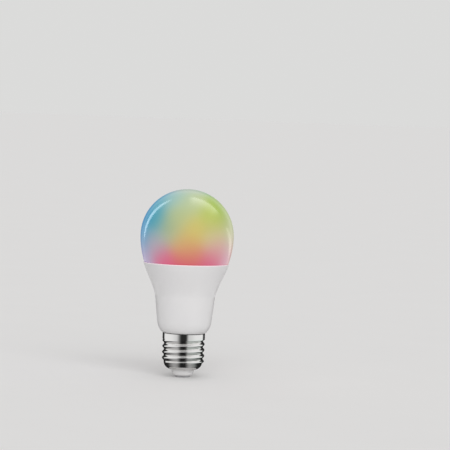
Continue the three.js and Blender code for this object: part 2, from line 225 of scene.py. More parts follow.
def inset_loop(loop, amount):
    """The loop moved to its own inner side, which lies to the left of its direction."""
    result = []
    for i, point in enumerate(loop):
        here = Vector(point)
        back, ahead = Vector(loop[i - 1]), Vector(loop[(i + 1) % len(loop)])
        side_a, side_b = (here - back).normalized(), (ahead - here).normalized()
        normal = Vector((-side_a.y - side_b.y, side_a.x + side_b.x))
        normal.normalize()
        stretch = max(normal.dot(Vector((-side_a.y, side_a.x))), 0.5)
        result.append(tuple(here + normal * amount / stretch))
    return result


def add_plate(bm, outline, holes=(), low=0.0, high=1.0, edge=0.06, at=Matrix()):
    """A plate with chamfered rims between two heights.

    The outline runs anticlockwise and the holes run clockwise."""
    loops = [outline, *holes]
    levels = [(low, edge), (low + edge, 0), (high - edge, 0), (high, edge)]
    rings = []
    for z, inset in levels:
        shaped = [inset_loop(loop, inset) if inset else loop for loop in loops]
        rings.append([[bm.verts.new(at @ Vector((x, y, z))) for x, y in loop] for loop in shaped])
    for below, above in zip(rings, rings[1:]):
        for low_ring, high_ring in zip(below, above):
            bridge(bm, low_ring, high_ring)
    for level, upward in ((rings[0], False), (rings[-1], True)):
        flat = [v for loop in level for v in loop]
        inverse = at.inverted()
        shape = [[(inverse @ v.co).xy.to_3d() for v in loop] for loop in level]
        for triangle in tessellate_polygon(shape):
            corners = [flat[i] for i in triangle]
            a, b, c = [inverse @ v.co for v in corners]
            if ((b - a).cross(c - a).z > 0) != upward:
                corners.reverse()
            bm.faces.new(corners)


def plate_mesh(*shape):
    """A mesh of one plate, with what add_plate takes after its mesh."""
    bm = bmesh.new()
    add_plate(bm, *shape)
    return bm


def circle(radius, steps=48, centre=(0, 0), hole=False):
    """A round outline, or a round hole, which runs the other way."""
    angles = [TURN * k / steps for k in range(steps)]
    points = [(centre[0] + radius * math.cos(a), centre[1] + radius * math.sin(a)) for a in angles]
    return points[::-1] if hole else points


def rectangle(low, high, corner=0.3, hole=False):
    """A rectangular outline with round corners, or a hole of that shape."""
    (x0, y0), (x1, y1) = low, high
    corners = [(x0, y0, corner), (x1, y0, corner), (x1, y1, corner), (x0, y1, corner)]
    points = soften(corners, steps=4, closed=True)
    return points[::-1] if hole else points


def piece(name, bm, material, slot, *nodes, sharp=35):
    """Turns the mesh under construction into a piece that rides on the bulb."""
    bmesh.ops.recalc_face_normals(bm, faces=bm.faces)
    bm.transform(Matrix.Scale(MM, 4))
    mesh = bpy.data.meshes.new(name)
    bm.to_mesh(mesh)
    bm.free()
    mesh.materials.append(material)
    mesh.shade_smooth()
    mesh.set_sharp_from_angle(angle=math.radians(sharp))
    made = bpy.data.objects.new(name, mesh)
    SCENE.collection.objects.link(made)
    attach(made, "root")
    if nodes:
        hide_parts(*nodes)
    return made


# ---------------------------------------------------------------- materials
def linear(colour):
    """A colour written as sRGB parts of 255, as the linear values that a shader takes."""
    parts = [c / 255 for c in colour]
    return [p / 12.92 if p <= 0.04045 else ((p + 0.055) / 1.055) ** 2.4 for p in parts]


class Graph:
    """Short ways to add nodes to a shader tree."""

    def __init__(self, tree):
        self.tree = tree

    def node(self, kind, **settings):
        made = self.tree.nodes.new(kind)
        for key, value in settings.items():
            setattr(made, key, value)
        return made

    def wire(self, source, target):
        """Feeds a socket from another socket, or sets it to a number or colour."""
        if isinstance(source, bpy.types.NodeSocket):
            self.tree.links.new(source, target)
        else:
            target.default_value = source

    def vector(self, operation, a, b=None, scale=None):
        made = self.node("ShaderNodeVectorMath", operation=operation)
        self.wire(a, made.inputs[0])
        if b is not None:
            self.wire(b, made.inputs[1])
        if scale is not None:
            self.wire(scale, made.inputs["Scale"])
        return made.outputs["Value" if operation in ("DISTANCE", "LENGTH", "DOT_PRODUCT") else "Vector"]

    def math(self, operation, a, b=0.0):
        made = self.node("ShaderNodeMath", operation=operation)
        self.wire(a, made.inputs[0])
        self.wire(b, made.inputs[1])
        return made.outputs[0]

    def product(self, first, *others):
        for other in others:
            first = self.math("MULTIPLY", first, other)
        return first

    def split(self, source):
        made = self.node("ShaderNodeSeparateXYZ")
        self.wire(source, made.inputs[0])
        return made.outputs

    def combine(self, x, y, z):
        made = self.node("ShaderNodeCombineXYZ")
        for value, socket in zip((x, y, z), made.inputs):
            self.wire(value, socket)
        return made.outputs[0]

    def level(self, value, low, high, to_low=0.0, to_high=1.0):
        """The value moved smoothly from one range to another."""
        made = self.node("ShaderNodeMapRange", interpolation_type="SMOOTHSTEP")
        for source, socket in zip((value, low, high, to_low, to_high), made.inputs):
            self.wire(source, socket)
        return made.outputs[0]


class Paint(Graph):
    """A Principled material with patterns laid out in the part's own millimetres."""

    def __init__(self, name, colour, roughness, metallic=0.0, **sockets):
        self.material = bpy.data.materials.new(name)
        self.material.use_nodes = True
        super().__init__(self.material.node_tree)
        self.shader = self.tree.nodes["Principled BSDF"]
        self.set("Base Color", (*linear(colour), 1))
        self.set("Roughness", roughness)
        self.set("Metallic", metallic)
        for socket, value in sockets.items():
            self.set(socket.replace("_", " "), value)
        place = self.node("ShaderNodeTexCoord").outputs["Object"]
        self.mm = self.vector("SCALE", place, scale=1 / MM)

    def set(self, socket, value):
        self.shader.inputs[socket].default_value = value

    def axes(self):
        """The x, y and z of a point, in millimetres."""
        return self.split(self.mm)

    def around(self):
        """Coordinates round the bulb's axis: distance round at 10 mm radius, radius, height."""
        x, y, z = self.axes()
        angle = self.math("ARCTAN2", y, x)
        radius = self.vector("LENGTH", self.combine(x, y, 0.0))
        return self.math("MULTIPLY", angle, 10.0), radius, z

    def noise(self, size, detail=3.0, rough=0.5, stretch=(1, 1, 1), source=None):
        """Noise whose blotches are about size millimetres across, times stretch on each axis."""
        scaled = self.vector("DIVIDE", source or self.mm, [size * s for s in stretch])
        made = self.node("ShaderNodeTexNoise")
        self.wire(scaled, made.inputs["Vector"])
        made.inputs["Scale"].default_value = 1.0
        made.inputs["Detail"].default_value = detail
        made.inputs["Roughness"].default_value = rough
        return made.outputs["Fac"]

    def speckle(self, size, source=None):
        """Cells about size millimetres across, each with its own value."""
        scaled = self.vector("DIVIDE", source or self.mm, [size] * 3)
        made = self.node("ShaderNodeTexVoronoi")
        self.wire(scaled, made.inputs["Vector"])
        made.inputs["Scale"].default_value = 1.0
        return self.split(made.outputs["Color"])[0]

    def mix(self, share, a, b):
        """A blend of two colours, each an sRGB triple or a socket."""
        made = self.node("ShaderNodeMix", data_type="RGBA")
        self.wire(share, made.inputs["Factor"])
        for colour, socket in zip((a, b), (made.inputs[6], made.inputs[7])):
            source = colour if isinstance(colour, bpy.types.NodeSocket) else (*linear(colour), 1)
            self.wire(source, socket)
        return made.outputs[2]

    def colour(self, source):
        self.wire(source, self.shader.inputs["Base Color"])
        return self

    def roughness(self, pattern, low, high):
        self.wire(self.level(pattern, 0.3, 0.7, low, high), self.shader.inputs["Roughness"])
        return self

    def bump(self, pattern, depth, strength=1.0):
        """Relief of about depth millimetres, added to any relief already there."""
        made = self.node("ShaderNodeBump")
        made.inputs["Strength"].default_value = strength
        made.inputs["Distance"].default_value = depth * MM
        self.wire(pattern, made.inputs["Height"])
        normal = self.shader.inputs["Normal"]
        if normal.links:
            self.wire(normal.links[0].from_socket, made.inputs["Normal"])
        self.wire(made.outputs[0], normal)
        return self


# Colours that the lit diffuser blends: degrees round from the front, height, sRGB colour.
GLOW = [
    (-78, 97, (68, 144, 187)),
    (-46, 97, (98, 164, 178)),
    (-60, 107, (92, 164, 184)),
    (-30, 111, (158, 191, 186)),
    (0, 117, (190, 198, 180)),
    (5, 110, (192, 202, 160)),
    (-12, 102, (178, 189, 144)),
    (-22, 92, (164, 178, 144)),
    (65, 106, (158, 186, 84)),
    (35, 101, (182, 194, 110)),
    (8, 93, (204, 190, 118)),
    (34, 90, (198, 192, 144)),
    (-2, 84, (208, 176, 124)),
    (4, 78, (208, 146, 122)),
    (0, 72, (208, 92, 122)),
    (-32, 74, (216, 116, 144)),
    (-66, 75, (178, 161, 187)),
    (-72, 85, (98, 157, 187)),
    (-42, 83, (164, 168, 178)),
    (34, 73, (208, 106, 136)),
    (40, 81, (209, 168, 168)),
    (66, 76, (207, 161, 180)),
    (70, 85, (200, 192, 174)),
    (64, 95, (186, 193, 144)),
    (86, 105, (206, 209, 182)),
    (86, 94, (202, 204, 182)),
    (112, 100, (160, 192, 118)),
    (145, 96, (112, 180, 162)),
    (180, 104, (120, 160, 198)),
    (-142, 98, (136, 142, 205)),
    (-108, 100, (92, 148, 200)),
    (112, 78, (212, 172, 140)),
    (155, 76, (214, 132, 122)),
    (-158, 76, (206, 118, 168)),
    (-112, 78, (168, 146, 204)),
    (178, 87, (186, 156, 176)),
    (150, 112, (152, 192, 164)),
    (-140, 112, (134, 166, 202)),
]
GLOW_REACH = 8.5  # how far each colour spreads on the front
BACK_REACH = 13.0  # and on the back
GLOBE_FOOT_R = 26.3  # the diffuser's radius where it meets the housing


def globe_radius(z):
    """Outer radius of the diffuser at a height, closely enough to place the colours."""
    if z >= BALL_Z:
        return math.sqrt(max(GLOBE_R**2 - (z - BALL_Z) ** 2, 0))
    return lerp(GLOBE_FOOT_R + 0.1, GLOBE_R, smooth_step(z, SEAM_Z - 12, BALL_Z))


def diffuser_material():
    paint = Paint("lit_diffuser", (190, 188, 140), 0.15)
    total, weights = None, None
    for degrees, z, colour in GLOW:
        a, r = math.radians(degrees), globe_radius(z)
        spot = (r * math.sin(a), -r * math.cos(a), z)
        squared = paint.math("POWER", paint.vector("DISTANCE", paint.mm, spot), 2.0)
        reach = GLOW_REACH if abs(degrees) < 90 else BACK_REACH
        share = paint.math("EXPONENT", paint.math("DIVIDE", squared, -(reach**2)))
        part = paint.vector("SCALE", linear(colour), scale=share)
        total = part if total is None else paint.vector("ADD", total, part)
        weights = share if weights is None else paint.math("ADD", weights, share)
    vivid = paint.node("ShaderNodeHueSaturation")
    vivid.inputs["Saturation"].default_value = 1.14
    average = paint.vector("SCALE", total, scale=paint.math("DIVIDE", 1.0, weights))
    paint.wire(average, vivid.inputs["Color"])
    blended = vivid.outputs[0]
    paint.colour(paint.vector("SCALE", blended, scale=0.34))
    paint.wire(blended, paint.shader.inputs["Emission Color"])
    paint.set("Emission Strength", 0.68)
    paint.roughness(paint.noise(9, 2), 0.13, 0.17)
    paint.bump(paint.noise(14, 1), 0.004, 0.3)
    return paint.material


def housing_material():
    paint = Paint("satin_housing", (229, 228, 229), 0.42, Specular_IOR_Level=0.45)
    plastic = paint.mix(paint.noise(14, 2), (226, 225, 227), (230, 229, 229))
    # Painted highlight: the top of the rim is painted a pinkish white.
    painted_rim_highlight = paint.level(paint.axes()[2], RIM_Z - 0.75, RIM_Z - 0.3)
    paint.colour(paint.mix(painted_rim_highlight, plastic, (255, 240, 246)))
    paint.roughness(paint.noise(6, 4), 0.36, 0.48)
    paint.bump(paint.noise(0.28, 3, 0.6), 0.012, 0.35)
    return paint.material


def nickel_material():
    paint = Paint("nickel_plate", (214, 212, 210), 0.1, metallic=1.0)
    round_about, radius, z = paint.around()
    rolled = paint.noise(1, 4, 0.6, stretch=(4, 1, 0.08), source=paint.combine(round_about, 0.0, z))
    # Dirt and painted shade: the thread's roots are painted darker, in blotches.
    root = paint.level(radius, 12.15, 12.75, 1.0, 0.0)
    root_dirt_and_shade = paint.math("MULTIPLY", root, paint.level(paint.noise(2.5, 4), 0.35, 0.7, 0.1, 0.35))
    plate = paint.mix(root_dirt_and_shade, (222, 221, 220), (176, 170, 163))
    # Painted shadow: a thin dark band along the top edge of the shell, under the housing.
    paint.colour(paint.mix(paint.level(z, CAP_TOP - 0.5, CAP_TOP - 0.1, 0.0, 0.85), plate, (58, 56, 54)))
    worn = paint.math("ADD", paint.product(rolled, 0.7), paint.product(root_dirt_and_shade, 0.3))
    paint.roughness(worn, 0.07, 0.2)
    paint.bump(rolled, 0.003, 0.25)
    return paint.material


def insulator_material():
    paint = Paint("cap_insulator", (232, 231, 231), 0.35)
    paint.colour(paint.mix(paint.noise(3, 3), (226, 225, 226), (236, 235, 235)))
    paint.roughness(paint.noise(1.5, 3), 0.28, 0.45)
    paint.bump(paint.noise(0.3, 3), 0.01, 0.3)
    return paint.material


def contact_material():
    paint = Paint("tinned_contact", (214, 214, 216), 0.3, metallic=1.0)
    round_about, radius, z = paint.around()
    turned = paint.noise(1, 3, 0.6, stretch=(6, 0.07, 1), source=paint.combine(round_about, radius, z))
    paint.colour(paint.mix(paint.noise(1.2, 3), (204, 204, 206), (224, 224, 226)))
    paint.roughness(turned, 0.22, 0.42)
    paint.bump(turned, 0.006, 0.4)
    return paint.material


# ---------------------------------------------------------------- outer pieces
HOUSING_WALL = 1.5
GLOBE_WALL = 1.2
SHELL_WALL = 0.4
GLOBE_LIP_R = 24.4  # the lip that goes down inside the housing's rim
REBATE_R = 24.7
REBATE_INNER_R = 23.75
REBATE_Z = 67.4
NECK_R = 12.45  # the housing's neck inside the shell's smooth collar
THREADED_NECK_R = 11.2
NECK_BORE_R = 10
NECK_Z = 12
MOUTH_R = 7.3  # the opening in the shell's rolled-in end
BUTTON_R = 6.95
BUTTON_Z = 1.05
DISC_R = 4.7
THREAD_PITCH = 25.4 / 7
THREAD_CREST_R = SHELL_HIGH.x
THREAD_DEPTH = 1.08
THREAD_ROOT_R = THREAD_CREST_R - THREAD_DEPTH
THREAD_CREST_Z = 20.8
THREAD_BOTTOM = 8.6
THREAD_TOP = 23.3


def globe_side(inset, barrel_steps, ball_steps):
    """The diffuser's wall from the seam to the crown, moved inwards by inset."""
    radius = GLOBE_R - inset
    foot = (GLOBE_FOOT_R - inset, SEAM_Z + inset)
    barrel = [foot, (27.9 - inset, SEAM_Z + 5), (radius, BALL_Z - 6), (radius, BALL_Z)]
    ball = arc((0, BALL_Z), radius, 0, 90, ball_steps)[1:-1]
    return bezier(barrel, barrel_steps) + ball + [(0, CROWN_Z - inset)]


def build_globe():
    lip_in, lip_low = GLOBE_LIP_R - GLOBE_WALL, SEAM_Z - 2.9
    inside = globe_side(GLOBE_WALL, 14, 26)[::-1]
    lip = soften([
        (lip_in, SEAM_Z + GLOBE_WALL, 0.4), (lip_in, lip_low, 0.3), (GLOBE_LIP_R, lip_low, 0.3),
        (GLOBE_LIP_R, SEAM_Z, 0.25), (GLOBE_FOOT_R, SEAM_Z, 0.35), (26.75, SEAM_Z + 1.4),
    ])[:-1]
    globe = turned_mesh(inside + lip + globe_side(0, 30, 40)[3:], 160)
    piece("diffuser_globe_shell", globe, diffuser_material(), "diffuser", "diffuser_globe")


FLARE = [(18.6, 50), (19.4, 56), (23.8, 62.6), (RIM_R, RIM_Z - 0.3)]


def flare_wall(share, inset, steps):
    """The housing's flared wall up to a share of its length, moved inwards by inset."""
    fine = [Vector(p) for p in bezier(FLARE, steps * 4)]
    result = []
    for i in range(steps + 1):
        k = round(i / steps * share * steps * 4)
        along = (fine[min(k + 1, len(fine) - 1)] - fine[max(k - 1, 0)]).normalized()
        result.append(tuple(fine[k] + Vector((-along.y, along.x)) * inset))
    return result


def build_housing(material):
    step_z = CAP_TOP + 0.3
    shoulder = [(13.5, step_z), (14.9, CAP_TOP + 1.2), (16.4, CAP_TOP + 3.6), (16.9, CAP_TOP + 7.2)]
    neck = soften([
        (NECK_BORE_R, NECK_Z), (THREADED_NECK_R, NECK_Z, 0.3), (THREADED_NECK_R, THREAD_TOP - 0.4, 0.4),
        (NECK_R, THREAD_TOP + 1.2, 0.4), (NECK_R, step_z), (THREAD_CREST_R, step_z),
    ])[:-1]
    outside = neck + bezier(shoulder, 14) + flare_wall(1, 0, 28)[:-1]
    rim = soften([
        outside[-1], (RIM_R, RIM_Z - 0.3, 0.1), (RIM_R - 0.12, RIM_Z, 0.25),
        (REBATE_R, RIM_Z, 0.2), (REBATE_R, REBATE_Z, 0.2), (REBATE_INNER_R, REBATE_Z),
    ])[1:-1]
    inside = flare_wall(0.78, HOUSING_WALL, 18)[::-1]
    bore = soften([
        inside[-1], (15.4, 35, 1.0), (NECK_BORE_R, 28.2, 1.0), (NECK_BORE_R, NECK_Z),
    ])[1:-1]
    shell = turned_mesh(outside + rim + inside + bore, 160)
    piece("housing_shell", shell, material, "housing", "outer_housing")


def thread_radius(z, angle):
    """Radius of the screw shell's outside at a height and an angle."""
    wave = 0.5 + 0.5 * math.cos(TURN * (z - THREAD_CREST_Z) / THREAD_PITCH - angle)
    depth = THREAD_DEPTH * smooth_step(z, THREAD_BOTTOM - 0.6, THREAD_BOTTOM + 1.6)
    narrow = 0.35 * (1 - smooth_step(z, THREAD_BOTTOM, THREAD_BOTTOM + 2))
    threaded = THREAD_ROOT_R - narrow + depth * wave
    return lerp(threaded, THREAD_CREST_R, smooth_step(z, THREAD_TOP - 0.3, THREAD_TOP + 0.6))


def dome_curve(inset, steps):
    """The rolled-in bottom of the screw shell, from its mouth out to the thread."""
    return bezier([
        (MOUTH_R, 4.7 + inset), (9.4 - inset * 0.4, 5.0 + inset),
        (11.1 - inset, 6.2 + inset * 0.6), (11.77 - inset, THREAD_BOTTOM - 0.6),
    ], steps)


def build_screw_shell():
    """Thin sheet with the thread rolled into it, so the inside follows the outside."""
    rows = 110
    heights = [lerp(THREAD_BOTTOM, CAP_TOP - 0.2, i / rows) for i in range(rows + 1)]

    def wrap(radius, z, angle):
        if z < THREAD_BOTTOM - 0.01:
            return radius
        return thread_radius(min(z, CAP_TOP), angle) - (THREAD_CREST_R - radius)

    edge = arc((THREAD_CREST_R - SHELL_WALL / 2, CAP_TOP - 0.2), SHELL_WALL / 2, 0, 180, 6)[1:-1]
    lip = arc((MOUTH_R, 4.7 + SHELL_WALL / 2), SHELL_WALL / 2, 90, 270, 6)[1:-1]
    outside = dome_curve(0, 16) + [(THREAD_CREST_R, z) for z in heights]
    inside = [(THREAD_CREST_R - SHELL_WALL, z) for z in heights[::-1]] + dome_curve(SHELL_WALL, 14)[::-1]
    sheet = turned_mesh(outside + edge + inside + lip, 168, warp=wrap)
    piece("screw_shell_thread", sheet, nickel_material(), "nickel", "screw_shell")


def build_insulator():
    seat = [(max(r - 0.3, BUTTON_R), z) for r, z in dome_curve(SHELL_WALL + 0.3, 12)]
    button = bezier([(4.9, BUTTON_Z), (6.1, BUTTON_Z), (6.7, 2.6), (BUTTON_R, 4.4)], 14)
    top = soften([
        seat[-1], (10.7, 8.4, 0.3), (1.5, 8.4, 0.2), (1.5, BUTTON_Z, 0.2), (4.9, BUTTON_Z),
    ])[1:-1]
    button_mesh = turned_mesh(button + seat + top)
    piece("cap_insulator_button", button_mesh, insulator_material(), "insulator", "cap_insulator")


def build_contact():
    """A pressed disc whose hollow rivet stem goes up through the insulator."""
    head = bezier([(3.3, 0), (4.3, 0.05), (DISC_R, 0.35), (DISC_R, 0.75)], 10)
    stem = soften([
        (DISC_R, 0.75), (4.6, 0.95, 0.1), (1.2, 0.95, 0.15), (1.2, 9.4, 0.15),
        (0.8, 9.4, 0.15), (0.75, 7.6, 0.2), (0, 7.4),
    ])[1:]
    disc = turned_mesh([(0, 0)] + head + stem, 72)
    piece("centre_contact_disc", disc, contact_material(), "contact_metal", "centre_contact")


# ---------------------------------------------------------------- materials of the inner pieces
def grained(name, dark, light, rough, size, depth, metallic=0.0, **sockets):
    """Blotches about size mm across, uneven gloss, and a grain that is depth mm deep."""
    paint = Paint(name, light, rough[0], metallic, **sockets)
    paint.colour(paint.mix(paint.noise(size, 3), dark, light))
    paint.roughness(paint.noise(size * 0.6, 4), *rough)
    paint.bump(paint.noise(size * 0.12, 3, 0.6), depth, 0.5)
    return paint.material


def spun_aluminium():
    """Turning marks that run round the axis."""
    paint = Paint("spun_aluminium", (190, 193, 197), 0.35, metallic=1.0)
    round_about, radius, z = paint.around()
    place = paint.combine(round_about, radius, z)
    lines = paint.noise(1, 3, 0.6, stretch=(9, 0.06, 0.06), source=place)
    paint.colour(paint.mix(lines, (172, 175, 180), (204, 207, 210)))
    paint.roughness(lines, 0.25, 0.45)
    paint.bump(lines, 0.01, 0.5)
    return paint.material


def pad_material():
    """Grey silicone full of fine ceramic grains."""
    paint = Paint("thermal_pad", (150, 157, 164), 0.7)
    grains = paint.speckle(0.18)
    paint.colour(paint.mix(grains, (142, 149, 157), (166, 172, 178)))
    paint.roughness(grains, 0.6, 0.8)
    paint.bump(paint.noise(0.5, 3), 0.03, 0.5)
    return paint.material


def white_board_material():
    """White mask over an aluminium core, which shows at the board's edge."""
    paint = Paint("white_board", (240, 240, 235), 0.45)
    height = paint.axes()[2]
    core = paint.level(height, ENGINE_TOP - 0.2, ENGINE_TOP - 0.14, 1.0, 0.0)
    mask = paint.mix(paint.noise(3, 3), (234, 235, 229), (243, 243, 239))
    paint.colour(paint.mix(core, mask, (176, 178, 181)))
    paint.wire(core, paint.shader.inputs["Metallic"])
    paint.roughness(paint.noise(0.8, 3), 0.35, 0.5)
    paint.bump(paint.noise(0.25, 3), 0.01, 0.4)
    return paint.material


def board_material(name, dark, light):
    """Solder mask over glass cloth, whose weave shows faintly."""
    paint = Paint(name, light, 0.3, Coat_Weight=0.3, Coat_Roughness=0.2)
    x, _, z = paint.axes()
    threads = [paint.math("SINE", paint.math("MULTIPLY", side, TURN / 0.9)) for side in (x, z)]
    weave = paint.math("MULTIPLY", *threads)
    shade = paint.math("ADD", paint.math("MULTIPLY", weave, 0.2), paint.noise(4, 3))
    paint.colour(paint.mix(paint.level(shade, 0.2, 0.8), dark, light))
    paint.roughness(paint.noise(1.2, 3), 0.22, 0.4)
    paint.bump(weave, 0.008, 0.4)
    return paint.material


def sleeve_material(node, facing):
    """Shrunk sleeve with a pale stripe down the side that faces that many degrees round."""
    paint = Paint(f"{node}_sleeve", (35, 38, 45), 0.3)
    x, y, _ = paint.axes()
    centre = middle_mm(node)
    across = paint.math("SUBTRACT", x, centre.x)
    away = paint.math("SUBTRACT", y, centre.y)
    angle = paint.math("MULTIPLY", paint.math("ARCTAN2", away, across), 360 / TURN)
    off = paint.math("ABSOLUTE", paint.math("SUBTRACT", angle, facing))
    sleeve = paint.mix(paint.noise(2, 3), (30, 33, 40), (43, 47, 56))
    paint.colour(paint.mix(paint.level(off, 23, 25, 1.0, 0.0), sleeve, (168, 172, 178)))
    paint.roughness(paint.noise(1, 3), 0.22, 0.38)
    paint.bump(paint.noise(1.5, 2), 0.02, 0.4)
    return paint.material


def fuse_material():
    """Green coating with four colour bands."""
    paint = Paint("fuse_coating", (75, 138, 90), 0.4)
    height = paint.axes()[2]
    foot = box_mm("fuse_resistor")[0].z
    colour = paint.mix(paint.noise(1, 3), (66, 124, 82), (86, 148, 100))
    bands = ((1.1, (120, 74, 40)), (3.0, (30, 30, 32)), (4.3, (212, 190, 90)), (6.9, (196, 160, 60)))
    for z, band in bands:
        off = paint.math("ABSOLUTE", paint.math("SUBTRACT", height, foot + z))
        colour = paint.mix(paint.level(off, 0.3, 0.36, 1.0, 0.0), colour, band)
    paint.colour(colour)
    paint.roughness(paint.noise(0.8, 3), 0.3, 0.5)
    paint.bump(paint.noise(0.5, 3), 0.02, 0.5)
    return paint.material


def tape_material():
    """Yellow polyester tape, wound in layers."""
    paint = Paint("winding_tape", (224, 186, 60), 0.25, Coat_Weight=0.4)
    height = paint.axes()[2]
    layers = paint.noise(1, 2, stretch=(8, 8, 0.25), source=paint.combine(0.0, 0.0, height))
    paint.colour(paint.mix(paint.noise(1.6, 3), (208, 168, 48), (232, 198, 78)))
    paint.roughness(layers, 0.18, 0.35)
    paint.bump(layers, 0.03, 0.6)
    return paint.material


# ---------------------------------------------------------------- shapes that the inner pieces share
TO_NEAR = Matrix.Rotation(TURN / 4, 4, "X")  # a plate's z turned to -Y, its y upright
TO_FAR = Matrix.Rotation(-TURN / 4, 4, "X")  # a plate's z turned to +Y, its y downwards


def moved(x, y, z):
    return Matrix.Translation((x, y, z))


def block_mesh(low, high, edge=0.02, steps=1, at=Matrix()):
    bm = bmesh.new()
    add_block(bm, low, high, edge, steps, at)
    return bm


def carved(body, *tools):
    """The first mesh with the others cut out of it."""
    made = []
    for bm in (body, *tools):
        bmesh.ops.recalc_face_normals(bm, faces=bm.faces)
        mesh = bpy.data.meshes.new("cutting")
        bm.to_mesh(mesh)
        bm.free()
        made.append(bpy.data.objects.new("cutting", mesh))
        SCENE.collection.objects.link(made[-1])
    for tool in made[1:]:
        cut = made[0].modifiers.new("cut", "BOOLEAN")
        cut.operation = "DIFFERENCE"
        cut.solver = "EXACT"
        cut.object = tool
    evaluated = made[0].evaluated_get(bpy.context.evaluated_depsgraph_get())
    result = bmesh.new()
    result.from_mesh(evaluated.to_mesh())
    evaluated.to_mesh_clear()
    for thing in made:
        mesh = thing.data
        bpy.data.objects.remove(thing)
        bpy.data.meshes.remove(mesh)
    return result


def arc_band(radius, width, start, end, steps=10):
    """The outline of a stretch of ring; the angles are in degrees."""
    outer = arc((0, 0), radius + width / 2, start, end, steps)
    return outer + arc((0, 0), radius - width / 2, end, start, steps)


def add_smd(bodies, ends, at, length=1.6, width=0.8, height=0.45):
    """A chip resistor that lies along its own x and stands on z = 0."""
    cap = 0.3
    reach = length / 2
    add_block(bodies, (cap - reach, -width / 2, 0.02), (reach - cap, width / 2, height), 0.04, 1, at)
    for x in (-reach, reach - cap):
        low = (x, -width / 2 - 0.02, 0)
        add_block(ends, low, (x + cap, width / 2 + 0.02, height + 0.03), 0.07, 2, at)


def add_joint(bm, at, radius=0.85, height=0.75):
    """A cone of solder round a lead that comes up from z = 0."""
    shape = ((0, 0), (1, 0), (0.8, 0.12), (0.5, 0.4), (0.38, 0.85), (0.2, 1), (0, 1))
    add_turned(bm, [(radius * r, height * z) for r, z in shape], 16, at)


def add_lead(bm, points, radius=0.3, sides=10):
    add_tube(bm, catmull(points, 5), radius, sides)


def build_leads(name, routes, solder, radius=0.3, sides=10, add=add_lead):
    """One piece of several leads; add_lead smooths their routes and add_tube doesn't."""
    leads = bmesh.new()
    for route in routes:
        add(leads, route, radius, sides)
    piece(name, leads, solder, "tinned_can")


def helix(radius, start, end, turns, steps=18):
    """Points of a coil about +Z between two heights."""
    count = round(turns * steps)
    places = [(TURN * k / steps, lerp(start, end, k / count)) for k in range(count + 1)]
    return [(radius * math.cos(a), radius * math.sin(a), z) for a, z in places]


# ---------------------------------------------------------------- heat sink and light engine
PIN_XS = [2.54 * n for n in (-2, -1, 0, 1, 2)]
PIN_Y = box_mm("led_header")[0].y + 1.2
SCREW_Y = middle_mm("board_screw_1").y
SLOT = ((-9, -1.3), (9, 1.3))  # opening that the radio board stands through
LEAD_END_Y = -1.8  # leads of the parts on the driver board's near side end here, past the board
PIN_HALF = 0.32  # half the width of a header's square pin
BAR_HALF = 1.22  # half the width of a header's bar at each pin
FILLET_X = 1.85  # the solder fillets under an LED stand this far from its middle
ENGINE_TOP = box_mm("led_board")[1].z


def screw_holes():
    return [circle(1.5, 28, (0, y), hole=True) for y in (SCREW_Y, -SCREW_Y)]


def deck_holes():
    pins = rectangle((-6.4, PIN_Y - 1.2), (6.4, PIN_Y + 1.2), 0.5, hole=True)
    return [rectangle(*SLOT, 0.5, hole=True), pins, *screw_holes()]


def build_board_guides(material):
    """Ribs in the housing's neck that hold the two edges of the driver board."""
    low, high = box_mm("driver_board")
    bm = bmesh.new()
    for x0, x1 in ((-10.1, -8.1), (8.1, 10.1)):
        for y in (low.y - 1.2, high.y + 0.3):
            add_block(bm, (x0, y, 13), (x1, y + 0.9, 27), 0.2, 3)
    piece("housing_board_guides", bm, material, "housing")


def build_bead():
    """A squeezed-out bead of silicone, a little uneven all the way round."""
    low, high = box_mm("globe_adhesive_bead")
    half_width, half_height = 0.3, 0.29
    middle_r = high.x - half_width - 0.03
    middle_z = (low.z + high.z) / 2
    angles = [TURN * k / 18 for k in range(18)]
    section = [(middle_r + half_width * math.cos(a), middle_z + half_height * math.sin(a)) for a in angles]

    def uneven(radius, _, angle):
        wave = math.sin(7 * angle + 1) + math.sin(13 * angle) * 0.6 + math.sin(31 * angle + 2) * 0.4
        return middle_r + (radius - middle_r) * (0.88 + 0.05 * wave)

    bead = turned_mesh(section, 240, warp=uneven)
    material = grained("silicone", (212, 213, 208), (228, 229, 225), (0.3, 0.5), 2, 0.02)
    piece("adhesive_bead", bead, material, "silicone", "globe_adhesive_bead")


def build_heat_sink():
    """A pressed cup: a flat deck with a skirt that follows the inside of the housing's flare."""
    top = box_mm("heat_sink_cup")[1].z
    wall = 1.0
    gap = HOUSING_WALL + 0.3
    bm = bmesh.new()
    add_plate(bm, circle(22, 128), deck_holes(), top - wall, top, 0.12)
    outside = flare_wall(0.68, gap, 20)
    inside = flare_wall(0.68, gap + wall, 20)[::-1]
    bend = soften([
        outside[-1], (22.75, top, 0.9), (21.9, top), (21.9, top - wall), inside[0],
    ])[1:-1]
    add_turned(bm, outside + bend + inside, 128)
    piece("heat_sink_deck_and_skirt", bm, spun_aluminium(), "heat_sink", "heat_sink_cup")


def build_pad():
    low, high = box_mm("thermal_pad")
    sheet = plate_mesh(circle(high.x, 96), deck_holes(), low.z, high.z, 0.08)
    piece("thermal_pad_sheet", sheet, pad_material(), "thermal_pad", "thermal_pad")


def build_led_board(material, solder):
    low, high = box_mm("led_board")
    pin_holes = [circle(0.75, 20, (x, PIN_Y), hole=True) for x in PIN_XS]
    holes = [rectangle(*SLOT, 0.5, hole=True), *pin_holes, *screw_holes()]
    core = plate_mesh(circle(high.x, 160), holes, low.z, high.z)
    piece("led_board_core", core, material, "white_board", "led_board")
    build_led_board_tracks(high.z, material)
    build_led_board_parts(high.z, solder)


